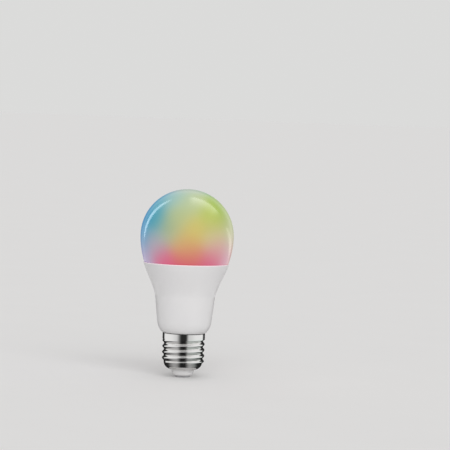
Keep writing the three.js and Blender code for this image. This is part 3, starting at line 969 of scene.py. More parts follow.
def build_led_board_tracks(top, material):
    """Copper under the mask: wide pads between the white LEDs, fine lines between the coloured ones."""
    tracks = bmesh.new()
    bands = [arc_band(17.6, 1.9, 30 * k + 22, 30 * k + 38) for k in range(12)]
    for k in (0, 2, 3, 5):
        lines = (10.9, 11.6, 12.3, 13.0)
        bands += [arc_band(radius, 0.4, 60 * k + 10, 60 * k + 50) for radius in lines]
    for band in bands:
        add_plate(tracks, band, (), top, top + 0.04, 0.015)
    piece("led_board_tracks", tracks, material, "white_board")


def build_led_board_parts(top, solder):
    """Chip resistors, and a ring and a joint round each of the header's pins."""
    bodies, ends = bmesh.new(), bmesh.new()
    for k in range(8):
        turn = Matrix.Rotation(TURN * (k + 0.5) / 8, 4, "Z")
        add_smd(bodies, ends, turn @ moved(14.8, 0, top) @ Matrix.Rotation(TURN / 4, 4, "Z"))
    for x in PIN_XS:
        rim = [(0.78, top), (1.1, top), (1.1, top + 0.06), (0.78, top + 0.06)]
        add_turned(ends, rim, 24, moved(x, PIN_Y, 0))
        add_joint(ends, moved(x, PIN_Y, top + 0.05), 0.85, 0.6)
    resistor = grained("chip_resistor", (26, 26, 28), (44, 44, 47), (0.3, 0.5), 0.6, 0.01)
    piece("led_board_resistors", bodies, resistor, "black_plastic")
    piece("led_board_solder", ends, solder, "tinned_can")


def build_screws():
    steel = grained("screw_steel", (150, 152, 154), (182, 184, 186), (0.22, 0.4), 1.2, 0.008, 1.0)
    for node in ("board_screw_1", "board_screw_2"):
        low, high = box_mm(node)
        y = (low.y + high.y) / 2
        under, head_r, core_r = high.z - 1.7, high.x, 0.98
        profile = soften([
            (0, low.z), (0.35, low.z, 0.1), (core_r, low.z + 1.1, 0.1), (core_r, under, 0.1),
            (head_r, under, 0.15), (head_r, under + 0.75, 0.5), (1.6, high.z, 0.6), (0, high.z),
        ])
        recess, above = under + 0.8, high.z + 1
        arms = [
            block_mesh((-x, y - d, recess), (x, y + d, above), 0.1, 2) for x, d in ((1.3, 0.3), (0.3, 1.3))
        ]
        bm = carved(turned_mesh(profile, 48, moved(0, y, 0)), *arms)
        thread = [(x, py + y, z) for x, py, z in helix(core_r, low.z + 1.0, under - 0.3, 9)]
        add_tube(bm, thread, lambda share: 0.16 * min(1, 12 * share, 12 * (1 - share)) + 0.01, 6)
        piece(f"{node}_threaded", bm, steel, "screw_steel", node, sharp=40)


def led_place(node):
    """Where a package stands, turned to face outwards from the board's centre."""
    middle = middle_mm(node)
    at = moved(middle.x, middle.y, box_mm(node)[0].z)
    return at @ Matrix.Rotation(math.atan2(middle.y, middle.x), 4, "Z")


def build_white_leds(solder):
    """Each package holds a sunk window of phosphor, and stands on two solder fillets."""
    size = (1.75, 1.4, 0.8)
    window = block_mesh((-1.25, -0.9, 0.5), (1.25, 0.9, 1.2), 0.15, 3)
    corner = block_mesh((1.35, 1.0, 0.55), (2.2, 2, 1.2))
    package = carved(block_mesh((-size[0], -size[1], 0.04), size, 0.07, 2), window, corner)
    plastic = grained("led_package", (230, 226, 214), (242, 239, 230), (0.35, 0.5), 0.8, 0.006)
    fillets = bmesh.new()
    glows = {"warm": ((222, 164, 46), (238, 190, 70)), "cool": ((230, 212, 100), (244, 230, 136))}
    for kind, tones in glows.items():
        phosphor = grained(f"{kind}_phosphor", *tones, (0.25, 0.4), 0.5, 0.01, Subsurface_Weight=0.3)
        for n in range(1, 7):
            node = f"{kind}_white_led_{n}"
            at = led_place(node)
            body = package.copy()
            body.transform(at)
            piece(f"{node}_package", body, plastic, f"{kind}_led", node)
            filling = block_mesh((-1.22, -0.87, 0.48), (1.22, 0.87, 0.73), 0.12, 4, at)
            piece(f"{node}_phosphor", filling, phosphor, f"{kind}_led")
            for side in (-1, 1):
                x = side * FILLET_X
                add_block(fillets, (x - 0.22, -1.0, -0.1), (x + 0.22, 1.0, 0.3), 0.14, 3, at)
    package.free()
    piece("white_led_fillets", fillets, solder, "tinned_can")


def build_colour_leds(solder):
    """Each package has a round cup with three dice, each wired to the package's frame."""
    height, half, floor = 1.4, 1.75, 0.75
    cup = turned_mesh([(0, floor), (1.0, floor), (1.3, height + 0.05), (0, height + 0.05)], 48)
    corner = block_mesh((1.3, 1.3, 1.1), (2.2, 2.2, 1.8))
    package = carved(block_mesh((-half, -half, 0.04), (half, half, height), 0.1, 3), cup, corner)
    plastic = grained("colour_led_package", (228, 228, 225), (240, 240, 238), (0.35, 0.5), 0.8, 0.006)
    die = grained("led_die", (120, 118, 96), (186, 176, 120), (0.15, 0.3), 0.2, 0.004, 0.6)
    feet = bmesh.new()
    for n in range(1, 7):
        node = f"colour_led_{n}"
        at = led_place(node)
        body = package.copy()
        body.transform(at)
        piece(f"{node}_package", body, plastic, "colour_led", node)
        dice = bmesh.new()
        for k in range(3):
            turn = at @ Matrix.Rotation(TURN * k / 3, 4, "Z")
            add_block(dice, (0.32, -0.16, floor - 0.02), (0.64, 0.16, floor + 0.1), 0.02, 1, turn)
            wire = ((0.48, 0, 0.1), (0.62, 0.2, 0.26), (0.78, 0.42, -0.01))
            route = catmull([(x, y, floor + rise) for x, y, rise in wire], 5)
            add_tube(dice, [turn @ p for p in route], 0.025, 6)
        piece(f"{node}_dice", dice, die, "colour_led")
        for x in (-FILLET_X, FILLET_X):
            for y in (-1, 0, 1):
                add_block(feet, (x - 0.2, y - 0.32, -0.1), (x + 0.2, y + 0.32, 0.3), 0.12, 3, at)
    package.free()
    piece("colour_led_fillets", feet, solder, "tinned_can")


# ---------------------------------------------------------------- radio board
def build_radio_board(solder, chip):
    low, high = box_mm("radio_board")
    vias = [circle(0.25, 14, (x, z), hole=True) for x in (-7.1, 7.1) for z in (54, 58, 62, 66)]
    outline = rectangle((low.x, low.z), (high.x, high.z), 0.6)
    laminate = plate_mesh(outline, vias, -high.y, -low.y, 0.05, TO_NEAR)
    blue = board_material("blue_board", (22, 38, 66), (34, 54, 88))
    piece("radio_board_laminate", laminate, blue, "blue_board", "radio_board")

    bodies, ends = bmesh.new(), bmesh.new()
    near = moved(0, low.y, 0) @ TO_NEAR
    far = moved(0, high.y, 0) @ TO_NEAR @ Matrix.Rotation(TURN / 2, 4, "Y")
    near_places = (
        (-5, 57), (-5, 59.5), (-2, 57), (-2, 59.5), (0.8, 57), (0.8, 61.5), (4.4, 62.5), (-5, 63),
    )
    far_places = ((5.6, 65.5), (3.2, 65.5), (0.8, 66.5), (-1.6, 65.5))
    for side, places in ((near, near_places), (far, far_places)):
        for x, z in places:
            add_smd(bodies, ends, side @ moved(x, z, 0), 1.0, 0.5, 0.35)
    for x in PIN_XS:
        add_plate(ends, rectangle((x - 0.7, 49.2), (x + 0.7, 53.4), 0.3), (), 0, 0.05, 0.02, near)
        add_joint(ends, far @ moved(-x, 51.2, 0.02), 0.7, 0.5)
    piece("radio_board_parts", bodies, chip, "black_plastic")
    piece("radio_board_pads", ends, solder, "tinned_can")


def build_radio_header(solder, black):
    low, high = box_mm("radio_header")
    bar, pins = bmesh.new(), bmesh.new()
    z = 50.9
    for x in PIN_XS:
        add_block(bar, (x - BAR_HALF, low.y, low.z), (x + BAR_HALF, high.y, high.z), 0.2, 2)
        start, end = (x - PIN_HALF, low.y - 1.9, z), (x + PIN_HALF, high.y + 0.9, z + 2 * PIN_HALF)
        add_block(pins, start, end, 0.12, 2)
    add_block(bar, (low.x, low.y + 0.2, low.z + 0.3), (high.x, high.y - 0.2, high.z - 0.3), 0.1, 1)
    piece("radio_header_bar", bar, black, "black_plastic", "radio_header")
    piece("radio_header_pins", pins, solder, "tinned_can")


def build_shield_can(can):
    """A drawn can with vents in its lid."""
    low, high = box_mm("radio_shield_can")
    skin, wall = 0.25, 0.2
    grid = [(x, -z) for x in (-3.6, -1.2, 1.2, 3.6) for z in (53.5, 56.7, 59.9)]
    vents = [circle(0.45, 18, place, hole=True) for place in grid]
    outline = rectangle((low.x, -high.z), (high.x, -low.z), 0.6)
    hollow = rectangle((low.x + wall, wall - high.z), (high.x - wall, -low.z - wall), 0.45, hole=True)
    bm = plate_mesh(outline, vents, high.y - skin, high.y, 0.1, TO_FAR)
    add_plate(bm, outline, [hollow], low.y, high.y - skin + 0.1, 0.03, TO_FAR)
    piece("shield_can_lid", bm, can, "tinned_can", "radio_shield_can")


def build_crystal(can):
    low, high = box_mm("radio_crystal")
    flange = rectangle((low.x, low.z), (high.x, high.z), 0.3)
    lid = rectangle((low.x + 0.15, low.z + 0.15), (high.x - 0.15, high.z - 0.15), 0.35)
    bm = plate_mesh(flange, (), -high.y, 0.25 - high.y, 0.04, TO_NEAR)
    add_plate(bm, lid, (), 0.2 - high.y, -low.y, 0.12, TO_NEAR)
    piece("crystal_lid_and_base", bm, can, "tinned_can", "radio_crystal")


def build_antenna():
    """A printed trace that folds up and down."""
    low, high = box_mm("radio_antenna")
    trace, folds = 0.6, 6
    step = (high.x - low.x - trace) / folds
    foot = low.z + 1.4
    bm = bmesh.new()
    for k in range(folds + 1):
        x = low.x + step * k
        add_block(bm, (x, low.y, low.z if k == 0 else foot), (x + trace, high.y, high.z), 0.05, 2)
        z = high.z - trace if k % 2 == 0 else foot
        if k < folds:
            add_block(bm, (x, low.y, z), (x + step + trace, high.y, z + trace), 0.05, 2)
    copper = grained("copper_trace", (190, 126, 74), (222, 160, 104), (0.2, 0.36), 1.5, 0.006, 1.0)
    piece("antenna_meander", bm, copper, "copper_trace", "radio_antenna")


# ---------------------------------------------------------------- driver board
def build_driver_board(solder, chip):
    low, high = box_mm("driver_board")
    outline = soften([
        (-8.6, low.z, 0.4), (8.6, low.z, 0.4), (8.6, 33, 0.4), (high.x, 36, 0.4),
        (high.x, high.z, 0.5), (low.x, high.z, 0.5), (low.x, 36, 0.4), (-8.6, 33, 0.4),
    ], closed=True)
    isolation = rectangle((-4, 47.5), (4, 48.3), 0.38, hole=True)
    laminate = plate_mesh(outline, [isolation], -high.y, -low.y, 0.05, TO_NEAR)
    green = board_material("green_board", (24, 78, 48), (38, 104, 66))
    piece("driver_board_laminate", laminate, green, "green_board", "driver_board")

    near = moved(0, low.y, 0) @ TO_NEAR
    far = moved(0, high.y, 0) @ TO_FAR
    pours = bmesh.new()
    areas = [
        ((-8, 25.8), (-3.2, 34)), ((3.2, 25.8), (8, 34)),
        ((-12, 46.4), (-4.6, 55)), ((-3.4, 48.8), (12, 55)),
        ((-12, 36.5), (-5, 45.6)), ((5, 36.5), (12, 45.6)),
        ((-7.6, 14), (-0.4, 25)), ((0.4, 14), (7.6, 25)),
    ]
    for corner, other in areas:
        add_plate(pours, rectangle(corner, other, 0.5), (), 0, 0.035, 0.015, near)
    piece("driver_board_copper_areas", pours, green, "green_board")
    build_driver_board_parts(near, far, solder, chip)


def build_driver_board_parts(near, far, solder, chip):
    """Chip resistors on the near face, and every lead's joint on the face it comes out of."""
    bodies, ends = bmesh.new(), bmesh.new()
    resistors = (
        (-6.4, 31), (-6.4, 28.5), (6.2, 31), (6.2, 28.5), (-9.8, 41.3), (-9.8, 39.4), (9.8, 45),
        (9.8, 42.5), (-6.6, 34.9), (9.8, 37.8), (0, 26.4), (10.4, 50), (10.4, 52),
    )
    for x, z in resistors:
        add_smd(bodies, ends, near @ moved(x, z, 0), 2.0, 1.2, 0.5)
    piece("driver_board_resistors", bodies, chip, "black_plastic")
    joints = [(-2.5, 14.1), (2.5, 14.1), (8.9, 35.6), (10.8, 35.8), (-9.6, 37.3), (-9.6, 43.5)]
    joints += [(x, z) for x in (-4.5, -1.5, 1.5, 4.5) for z in (36.1, 45.9)]
    for x, z in joints:
        add_joint(ends, near @ moved(x, z, 0))
    joints = [(-4.5, 25.6), (-4.5, 15.1), (1.6, 15.6), (5.2, 15.6), (-2.2, 16.2), (4.6, 16.2)]
    joints += [(x, 56.4) for x in PIN_XS]
    for x, z in joints:
        add_joint(ends, far @ moved(x, -z, 0), 0.8, 0.6)
    piece("driver_board_solder", ends, solder, "tinned_can")


def build_led_header(solder, black):
    low, high = box_mm("led_header")
    bar_top = box_mm("driver_board")[1].z
    bar, pins = bmesh.new(), bmesh.new()
    far_y, z = low.y + 2.5, 56.1
    for x in PIN_XS:
        left, right = x - PIN_HALF, x + PIN_HALF
        add_block(bar, (x - BAR_HALF, low.y, low.z), (x + BAR_HALF, far_y, bar_top), 0.3, 2)
        add_block(pins, (left, PIN_Y - PIN_HALF, low.z + 0.6), (right, PIN_Y + PIN_HALF, high.z), 0.16, 3)
        add_block(pins, (left, PIN_Y, z), (right, far_y + 1.8, z + 2 * PIN_HALF), 0.12, 2)
    add_block(bar, (low.x, low.y + 0.4, low.z + 0.4), (high.x, far_y - 0.3, bar_top - 0.4), 0.1, 1)
    piece("led_header_bar", bar, black, "black_plastic", "led_header")
    piece("led_header_pins", pins, solder, "tinned_can")


def build_electrolytic(node, facing, routes, solder, metal, rubber):
    """A can in a shrunk sleeve, open over its scored top, with a rubber seal and two leads."""
    low, high = box_mm(node)
    centre = (low + high) / 2
    radius, height = high.x - centre.x, high.z - low.z
    at = moved(centre.x, centre.y, low.z)
    lip = radius - 0.75
    sleeve = soften([
        (radius - 0.9, 0.25), (radius - 0.5, 0, 0.15), (radius, 0.3, 0.2), (radius, 1.6, 0.3),
        (radius - 0.45, 2.1, 0.35), (radius, 2.6, 0.3), (radius, height - 0.1, 0.5),
        (lip, height - 0.05, 0.1), (lip, height - 0.3, 0.1), (radius - 0.3, height - 0.6),
        (radius - 0.9, 1.2),
    ])
    tube = turned_mesh(sleeve, 72, at)
    piece(f"{node}_sleeve", tube, sleeve_material(node, facing), "capacitor_sleeve", node)
    top, inner = height - 0.12, lip - 0.02
    disc = soften([(0, height - 1), (inner, height - 1), (inner, top, 0.15), (0, top)])
    lid = turned_mesh(disc, 56, at)
    score, reach = 0.14, radius * 0.55
    grooves = [
        block_mesh((-x, -y, height - 0.24), (x, y, height + 0.5), 0.01, 1, at)
        for x, y in ((reach, score), (score, reach))
    ]
    piece(f"{node}_lid", carved(lid, *grooves), metal, "tinned_can")
    seat = soften([(0, 0.3), (radius - 0.95, 0.3, 0.1), (radius - 0.95, 1.4), (0, 1.4)])
    piece(f"{node}_seal", turned_mesh(seat, 48, at), rubber, "black_plastic")
    build_leads(f"{node}_leads", routes, solder)


def build_film_capacitor(solder):
    low, high = box_mm("film_capacitor")
    tones = (168, 128, 38), (192, 152, 58)
    epoxy = grained("film_capacitor", *tones, (0.28, 0.45), 2, 0.015, Coat_Weight=0.2)
    bm = bmesh.new()
    add_block(bm, low, high, 0.5, 4)
    for z in (low.z + 1, high.z - 1):
        ridge = (low.x + 0.6, low.y - 0.02, z - 0.25)
        add_block(bm, ridge, (high.x - 0.6, low.y + 0.3, z + 0.25), 0.1, 2)
    piece("film_capacitor_case", bm, epoxy, "film_capacitor", "film_capacitor")
    routes = [[(-9.6, low.y + y, z) for y in (0.3, -1, -2.2)] for z in (37.3, 43.5)]
    build_leads("film_capacitor_leads", routes, solder, add=add_tube)


# ---------------------------------------------------------------- wound parts
def build_transformer(solder, ferrite, black, tape, enamel):
    """Two ferrite halves that meet round a bobbin, whose winding is wrapped in tape."""
    centre = middle_mm("transformer_core")
    at = moved(*centre)

    def slab(x, y, z, shift=(0, 0, 0), edge=0.02, steps=1):
        low = (shift[0] - x, shift[1] - y, shift[2] - z)
        return block_mesh(low, (shift[0] + x, shift[1] + y, shift[2] + z), edge, steps, at)

    windows = [slab(1.6, 4, 4.3, (x, 0, 0), 0.25, 2) for x in (-3.6, 3.6)]
    core = carved(slab(6.5, 2.75, 6, edge=0.25, steps=3), *windows, slab(7, 4, 0.03))
    piece("transformer_core_halves", core, ferrite, "ferrite", "transformer_core")

    bobbin = slab(2.8, 3.55, 3.9, edge=0.15, steps=2)
    for side in (-1, 1):
        flange = (4.9, 5.1, 0.3), (0, 0, side * 3.7), 0.12
        pin_bar = (5.6, 1.25, 1), (0, -4.4, side * 4.9), 0.2
        for half, shift, edge in (flange, pin_bar):
            low = [s - h for s, h in zip(shift, half)]
            add_block(bobbin, low, [s + h for s, h in zip(shift, half)], edge, 2, at)
    tube = carved(bobbin, slab(2.3, 3.05, 8))
    piece("transformer_bobbin_former", tube, black, "black_plastic", "transformer_bobbin")

    def wound(inset, half_height):
        """A block of winding with round ends, flattened to pass through the core's windows."""
        limit, across, deep = 4.6 - inset, 5.6 - inset, 4.9 - inset
        angles = [TURN * k / 72 for k in range(72)]
        outline = [(max(-limit, min(limit, across * math.cos(a))), deep * math.sin(a)) for a in angles]
        bm = bmesh.new()
        hole = rectangle((-3.0, -3.75), (3.0, 3.75), 0.3, hole=True)
        add_plate(bm, outline, [hole], -half_height, half_height, 0.15, at)
        return bm

    piece("transformer_winding_copper", wound(0.18, 3.1), enamel, "winding", "transformer_winding")
    piece("transformer_winding_tape", wound(0, 2.7), tape, "winding")
    ends = [(x, z) for x in (-4.5, -1.5, 1.5, 4.5) for z in (-4.9, 4.9)]
    pins = [[at @ Vector((x, y, z)) for y in (-4.5, -6, -7.5)] for x, z in ends]
    build_leads("transformer_pins", pins, solder, 0.32, 12, add_tube)


def build_choke(solder, ferrite, enamel):
    """A drum core with one visible layer of enamelled wire."""
    low, high = box_mm("choke_core")
    centre = (low + high) / 2
    at = moved(centre.x, high.y, centre.z) @ TO_NEAR
    radius, length = high.x - centre.x, high.y - low.y
    drum = soften([
        (0, 0), (radius, 0, 0.3), (radius, 1.3, 0.15), (1.8, 1.3, 0.2), (1.8, length - 1.3, 0.2),
        (radius, length - 1.3, 0.15), (radius, length, 0.3), (0, length),
    ])
    piece("choke_drum", turned_mesh(drum, 72, at), ferrite, "ferrite", "choke_core")
    wire_r, first, last = 0.28, 1.6, 7.4
    coil = turned_mesh([(2.1, first), (3.05, first), (3.05, last), (2.1, last)], 48, at)
    turns = helix(3.3, first + wire_r, last - wire_r, 9.5, 24)
    add_tube(coil, [at @ Vector(p) for p in turns], wire_r, 10)
    piece("choke_winding_turns", coil, enamel, "winding", "choke_winding")
    route = ((2.9, 0.6, 1.7), (3.1, 0.9, 0.9), (3.0, 1.0, -0.4), (3.0, 1.0, -1.9))
    routes = [[at @ Vector((side * x, y, z)) for x, y, z in route] for side in (-1, 1)]
    build_leads("choke_leads", routes, solder, 0.25)


# ---------------------------------------------------------------- chips and small parts
# A chip's bent lead: share of the way from the body's middle to the foot, mm out from its edge.
LEAD_BEND = ((0, -0.1), (0, 0.25), (0.2, 0.42), (0.85, 0.5), (1, 0.66), (1, 1.0))


def build_chip(node, pins, solder, chip):
    """A moulded body with a dimple by pin 1 and bent leads along its top and bottom edges."""
    low, high = box_mm(node)
    body = block_mesh(low, high, 0.14, 2)
    at = moved(low.x + 0.75, low.y - 0.5, low.z + 0.75) @ TO_FAR
    dimple = turned_mesh([(0, 0), (0.33, 0), (0.33, 0.58), (0, 0.6)], 24, at)
    piece(f"{node}_body", carved(body, dimple), chip, "black_plastic", node)
    middle = low.y + (high.y - low.y) / 2
    foot = high.y - 0.06
    pitch = (high.x - low.x - 0.9) / max(pins - 1, 1)
    routes = []
    for k in range(pins):
        x = low.x + 0.45 + pitch * k
        for edge, out in ((low.z, -1), (high.z, 1)):
            routes.append([(x, lerp(middle, foot, share), edge + out * away) for share, away in LEAD_BEND])
    build_leads(f"{node}_leads", routes, solder, 0.17, 4, add_tube)


def build_fuse_resistor(solder):
    low, high = box_mm("fuse_resistor")
    centre = (low + high) / 2
    profile = soften([
        (0, 0), (1.2, 0, 0.3), (1.6, 0.5, 0.3), (1.6, 1.6, 0.4), (1.35, 2.1, 0.4), (1.35, 5.9, 0.4),
        (1.6, 6.4, 0.4), (1.6, 7.5, 0.3), (1.2, 8, 0.3), (0, 8),
    ])
    body = turned_mesh(profile, 48, moved(centre.x, centre.y, low.z))
    piece("fuse_resistor_body", body, fuse_material(), "fuse_coating", "fuse_resistor")
    x, y = centre.x, centre.y
    bend = ((y, -0.3), (y, 0.5), (y + 0.5, 1.15), (-3.2, 1.25), (LEAD_END_Y, 1.25))
    ends = ((high.z, 1), (low.z, -1))
    routes = [[(x, across, end + out * away) for across, away in bend] for end, out in ends]
    build_leads("fuse_resistor_leads", routes, solder)


def build_varistor(solder):
    low, high = box_mm("varistor")
    centre = (low + high) / 2
    radius, thick = (high.x - low.x) / 2, high.y - low.y
    profile = soften([
        (0, 0), (radius - 0.5, 0, 0.4), (radius, 0.7, 0.5), (radius, thick - 0.7, 0.5),
        (radius - 0.5, thick, 0.4), (0, thick),
    ])
    disc = turned_mesh(profile, 64, moved(centre.x, high.y, centre.z) @ TO_NEAR)
    coating = grained("varistor_coating", (38, 84, 152), (54, 104, 178), (0.25, 0.45), 1.2, 0.02)
    piece("varistor_disc", disc, coating, "varistor_coating", "varistor")
    y = centre.y
    bend = ((y, 2.6), (y, 3.4), (y + 0.5, 4.1), (-3, 4.2), (LEAD_END_Y, 4.2))
    sides = (centre.x - 1.8, centre.x + 1.8)
    routes = [[(x, across, centre.z - drop) for across, drop in bend] for x in sides]
    build_leads("varistor_leads", routes, solder)


def build_wires(solder):
    """Insulated wires from the driver board to the contact's stem and to the screw shell."""
    wires = {
        "line_wire": ("red_wire", (150, 30, 34), (188, 46, 48), [
            (-2.2, -4.2, 15.2), (-2.2, -4.3, 13.2), (-1.4, -2.8, 11.6), (-0.2, -0.6, 11.2), (0, 0, 9.8),
        ]),
        "neutral_wire": ("black_wire", (26, 26, 29), (44, 44, 48), [
            (4.6, -4.3, 15.2), (4.7, -4.4, 12.6), (6.1, -5.6, 10.6), (8.2, -7.2, 9.9),
        ]),
    }
    bare = bmesh.new()
    for node, (slot, dark, light, route) in wires.items():
        sheath = bmesh.new()
        add_tube(sheath, catmull(route, 12), 0.55, 20)
        jacket = grained(slot, dark, light, (0.35, 0.55), 1.5, 0.01)
        piece(f"{node}_jacket", sheath, jacket, slot, node)
        x, y, z = route[0]
        strand = ((y, -0.3), (y, 0.4), (y + 0.4, 0.9), (LEAD_END_Y, 1.0))
        add_lead(bare, [(x, across, z + rise) for across, rise in strand], 0.28)
    add_lead(bare, [(8.1, -7.1, 9.95), (8.8, -7.7, 9.8), (9.3, -8.2, 9.9)], 0.28)
    inwards = Vector((-9.3, 8.2, 0)).to_track_quat("Z", "Y").to_matrix().to_4x4()
    add_joint(bare, moved(9.26, -8.17, 9.9) @ inwards, 0.5, 0.9)
    add_joint(bare, moved(0, 0, box_mm("centre_contact")[1].z - 0.05), 1.15, 0.9)
    piece("wire_ends", bare, solder, "tinned_can")


def build_inside(housing):
    solder = grained("solder", (176, 178, 182), (208, 210, 213), (0.16, 0.34), 0.9, 0.01, 1.0)
    metal = grained("can_aluminium", (182, 185, 188), (206, 208, 210), (0.25, 0.42), 1.4, 0.008, 1.0)
    black = grained("black_nylon", (22, 22, 24), (36, 36, 38), (0.35, 0.55), 1.2, 0.012)
    rubber = grained("seal_rubber", (30, 29, 30), (46, 45, 45), (0.55, 0.75), 0.8, 0.02)
    chip = grained("moulded_epoxy", (27, 27, 30), (42, 42, 46), (0.45, 0.65), 0.5, 0.012)
    ferrite = grained("ferrite", (46, 46, 51), (66, 66, 72), (0.5, 0.7), 0.9, 0.02)
    enamel = grained("enamelled_copper", (166, 92, 44), (196, 116, 58), (0.15, 0.3), 0.6, 0.004, 0.85)
    build_board_guides(housing)
    build_bead()
    build_heat_sink()
    build_pad()
    build_led_board(white_board_material(), solder)
    build_screws()
    build_white_leds(solder)
    build_colour_leds(solder)
    build_radio_board(solder, chip)
    build_radio_header(solder, black)
    can = grained("tinned_can", (178, 181, 184), (204, 206, 208), (0.18, 0.36), 2.5, 0.006, 1.0)
    build_shield_can(can)
    build_crystal(can)
    build_antenna()
    build_driver_board(solder, chip)
    build_led_header(solder, black)
    route = ((3.1, 15.6), (3.1, 14.7), (2.5, 14.2), (-0.5, 14.1), (-3.9, 14.1))
    bulk = [[(x, y, z) for y, z in route] for x in (-2.5, 2.5)]
    build_electrolytic("bulk_capacitor", 90, bulk, solder, metal, rubber)
    output = [
        [(x, 1.4, 36.0), (x, 1.4, 35.3), (foot, 0.7, 35.0), (foot, -1, z), (foot, -3.9, z)]
        for x, foot, z in ((8.95, 8.9, 35.2), (11.45, 10.8, 35.4))
    ]
    build_electrolytic("output_capacitor", 45, output, solder, metal, rubber)
    build_film_capacitor(solder)
    build_transformer(solder, ferrite, black, tape_material(), enamel)
    build_choke(solder, ferrite, enamel)
    for node, pins in (("bridge_rectifier", 2), ("power_ic", 4), ("led_driver_ic", 8)):
        build_chip(node, pins, solder, chip)
    build_fuse_resistor(solder)
    build_varistor(solder)
    build_wires(solder)


# ---------------------------------------------------------------- stage, light and camera
CAMERA_ELEVATION = 4.0
CAMERA_DISTANCE = 1.556
CAMERA_ROLL = 2.0
CAMERA_LENS = 200
LOOK_BESIDE = (0.0233, 0.0370)  # the frame's middle lies this far right of and above the bulb's
FLOOR_RADIUS = 40.0


def glossy_only(made):
    """The thing shows in reflections and nowhere else."""
    made.visible_camera = False
    made.visible_diffuse = False
    made.visible_transmission = False
    made.visible_volume_scatter = False
    made.visible_shadow = False


def stage_mesh(name, bm, material):
    mesh = bpy.data.meshes.new(name)
    bm.to_mesh(mesh)
    bm.free()
    mesh.materials.append(material)
    made = bpy.data.objects.new(name, mesh)
    SCENE.collection.objects.link(made)
    return made


def add_ring(bm, radius, z, count=96):
    angles = [TURN * k / count for k in range(count)]
    return [bm.verts.new((radius * math.cos(a), radius * math.sin(a), z)) for a in angles]


def build_floor():
    paint = Paint("pale_floor", (243, 242, 242), 1.0, Specular_IOR_Level=0.0)
    paint.colour(paint.mix(paint.noise(60, 3), (242, 241, 241), (244, 243, 243)))
    bm = bmesh.new()
    rings = [add_ring(bm, radius, 0) for radius in (0.05, 0.5, 3.0, FLOOR_RADIUS)]
    bm.faces.new(rings[0])
    for inner, outer in zip(rings, rings[1:]):
        bridge(bm, outer, inner)
    bmesh.ops.recalc_face_normals(bm, faces=bm.faces)
    stage_mesh("floor", bm, paint.material)


class Glow(Paint):
    """The material of a card that gives light and reflects none."""

    def __init__(self, name, strength=1.0):
        super().__init__(name, (0, 0, 0), 1.0, Specular_IOR_Level=0.0)
        self.set("Emission Strength", strength)

    def pattern(self, red, green, blue):
        """Light that varies over the card; rays find it, so it isn't sampled as a lamp."""
        self.wire(self.combine(red, green, blue), self.shader.inputs["Emission Color"])
        self.material.cycles.emission_sampling = "NONE"
        return self.material

    def from_ball(self):
        """The direction from the middle of the bulb's ball."""
        offset = self.vector("SUBTRACT", self.mm, (0, 0, BALL_Z))
        return self.split(self.vector("NORMALIZE", offset))


def glowing(name, colour, strength):
    """An even light."""
    glow = Glow(name, strength)
    glow.set("Emission Color", (*linear(colour), 1))
    return glow.material


def direction(off_axis, clock):
    """The direction so many degrees off the way to the front, and anticlockwise from the right."""
    a, b = math.radians(off_axis), math.radians(clock)
    return Vector((math.sin(a) * math.cos(b), -math.cos(a), math.sin(a) * math.sin(b)))


def add_card(name, material, path, width, distance, taper=False):
    """A bent strip around the bulb's globe, along (off_axis, clock) directions, width degrees wide."""
    centre = Vector((0, 0, BALL_Z * MM))
    bm = bmesh.new()
    rows = []
    for i, (off_axis, clock) in enumerate(path):
        share = math.sin(math.pi * i / (len(path) - 1)) ** 0.6 if taper else 1
        half = width / 2 * max(share, 0.04)
        pair = (direction(off_axis - half, clock), direction(off_axis + half, clock))
        rows.append([bm.verts.new(centre + d * distance) for d in pair])
    for (a, b), (c, d) in zip(rows, rows[1:]):
        bm.faces.new((a, b, d, c))
    glossy_only(stage_mesh(name, bm, material))


def steps_between(start, end, steps=20):
    """Directions spaced evenly between two, each as (off_axis, clock)."""
    shares = [i / steps for i in range(steps + 1)]
    return [(lerp(start[0], end[0], t), lerp(start[1], end[1], t)) for t in shares]


SURROUNDINGS = 0.71  # brightness of the plain studio all round


def veil_material():
    """A soft light that fades into the surroundings towards the front and at both ends."""
    glow = Glow("veil_light")
    across, away, up = glow.from_ball()
    clock = glow.product(glow.math("ARCTAN2", up, across), 360 / TURN)
    start = glow.level(clock, 34, 46)
    end = glow.level(clock, 80, 92, 1.0, 0.0)
    behind = glow.level(away, -0.3, 0.4)
    value = glow.math("ADD", glow.product(start, end, behind, 2.6), SURROUNDINGS)
    return glow.pattern(value, value, value)


def shade_material():
    """A dark that grows out of the surroundings straight behind the bulb."""
    glow = Glow("rear_shade")
    _, away, _ = glow.from_ball()
    value = glow.level(away, 0.76, 0.92, SURROUNDINGS, 0.2)
    return glow.pattern(value, value, value)


def build_world():
    """An even pale studio, a little darker high up on both sides."""
    world = bpy.data.worlds.new("studio")
    world.use_nodes = True
    graph = Graph(world.node_tree)
    across, _, up = graph.split(graph.node("ShaderNodeTexCoord").outputs["Generated"])
    side = graph.level(graph.math("ABSOLUTE", across), 0.3, 0.85)
    shade = graph.product(side, graph.level(up, 0.05, 0.3), -0.5)
    value = graph.product(graph.math("ADD", shade, 1.0), SURROUNDINGS)
    backdrop = world.node_tree.nodes["Background"]
    graph.wire(graph.combine(value, value, graph.product(value, 0.99)), backdrop.inputs["Color"])
    world.cycles.sampling_method = "NONE"
    SCENE.world = world


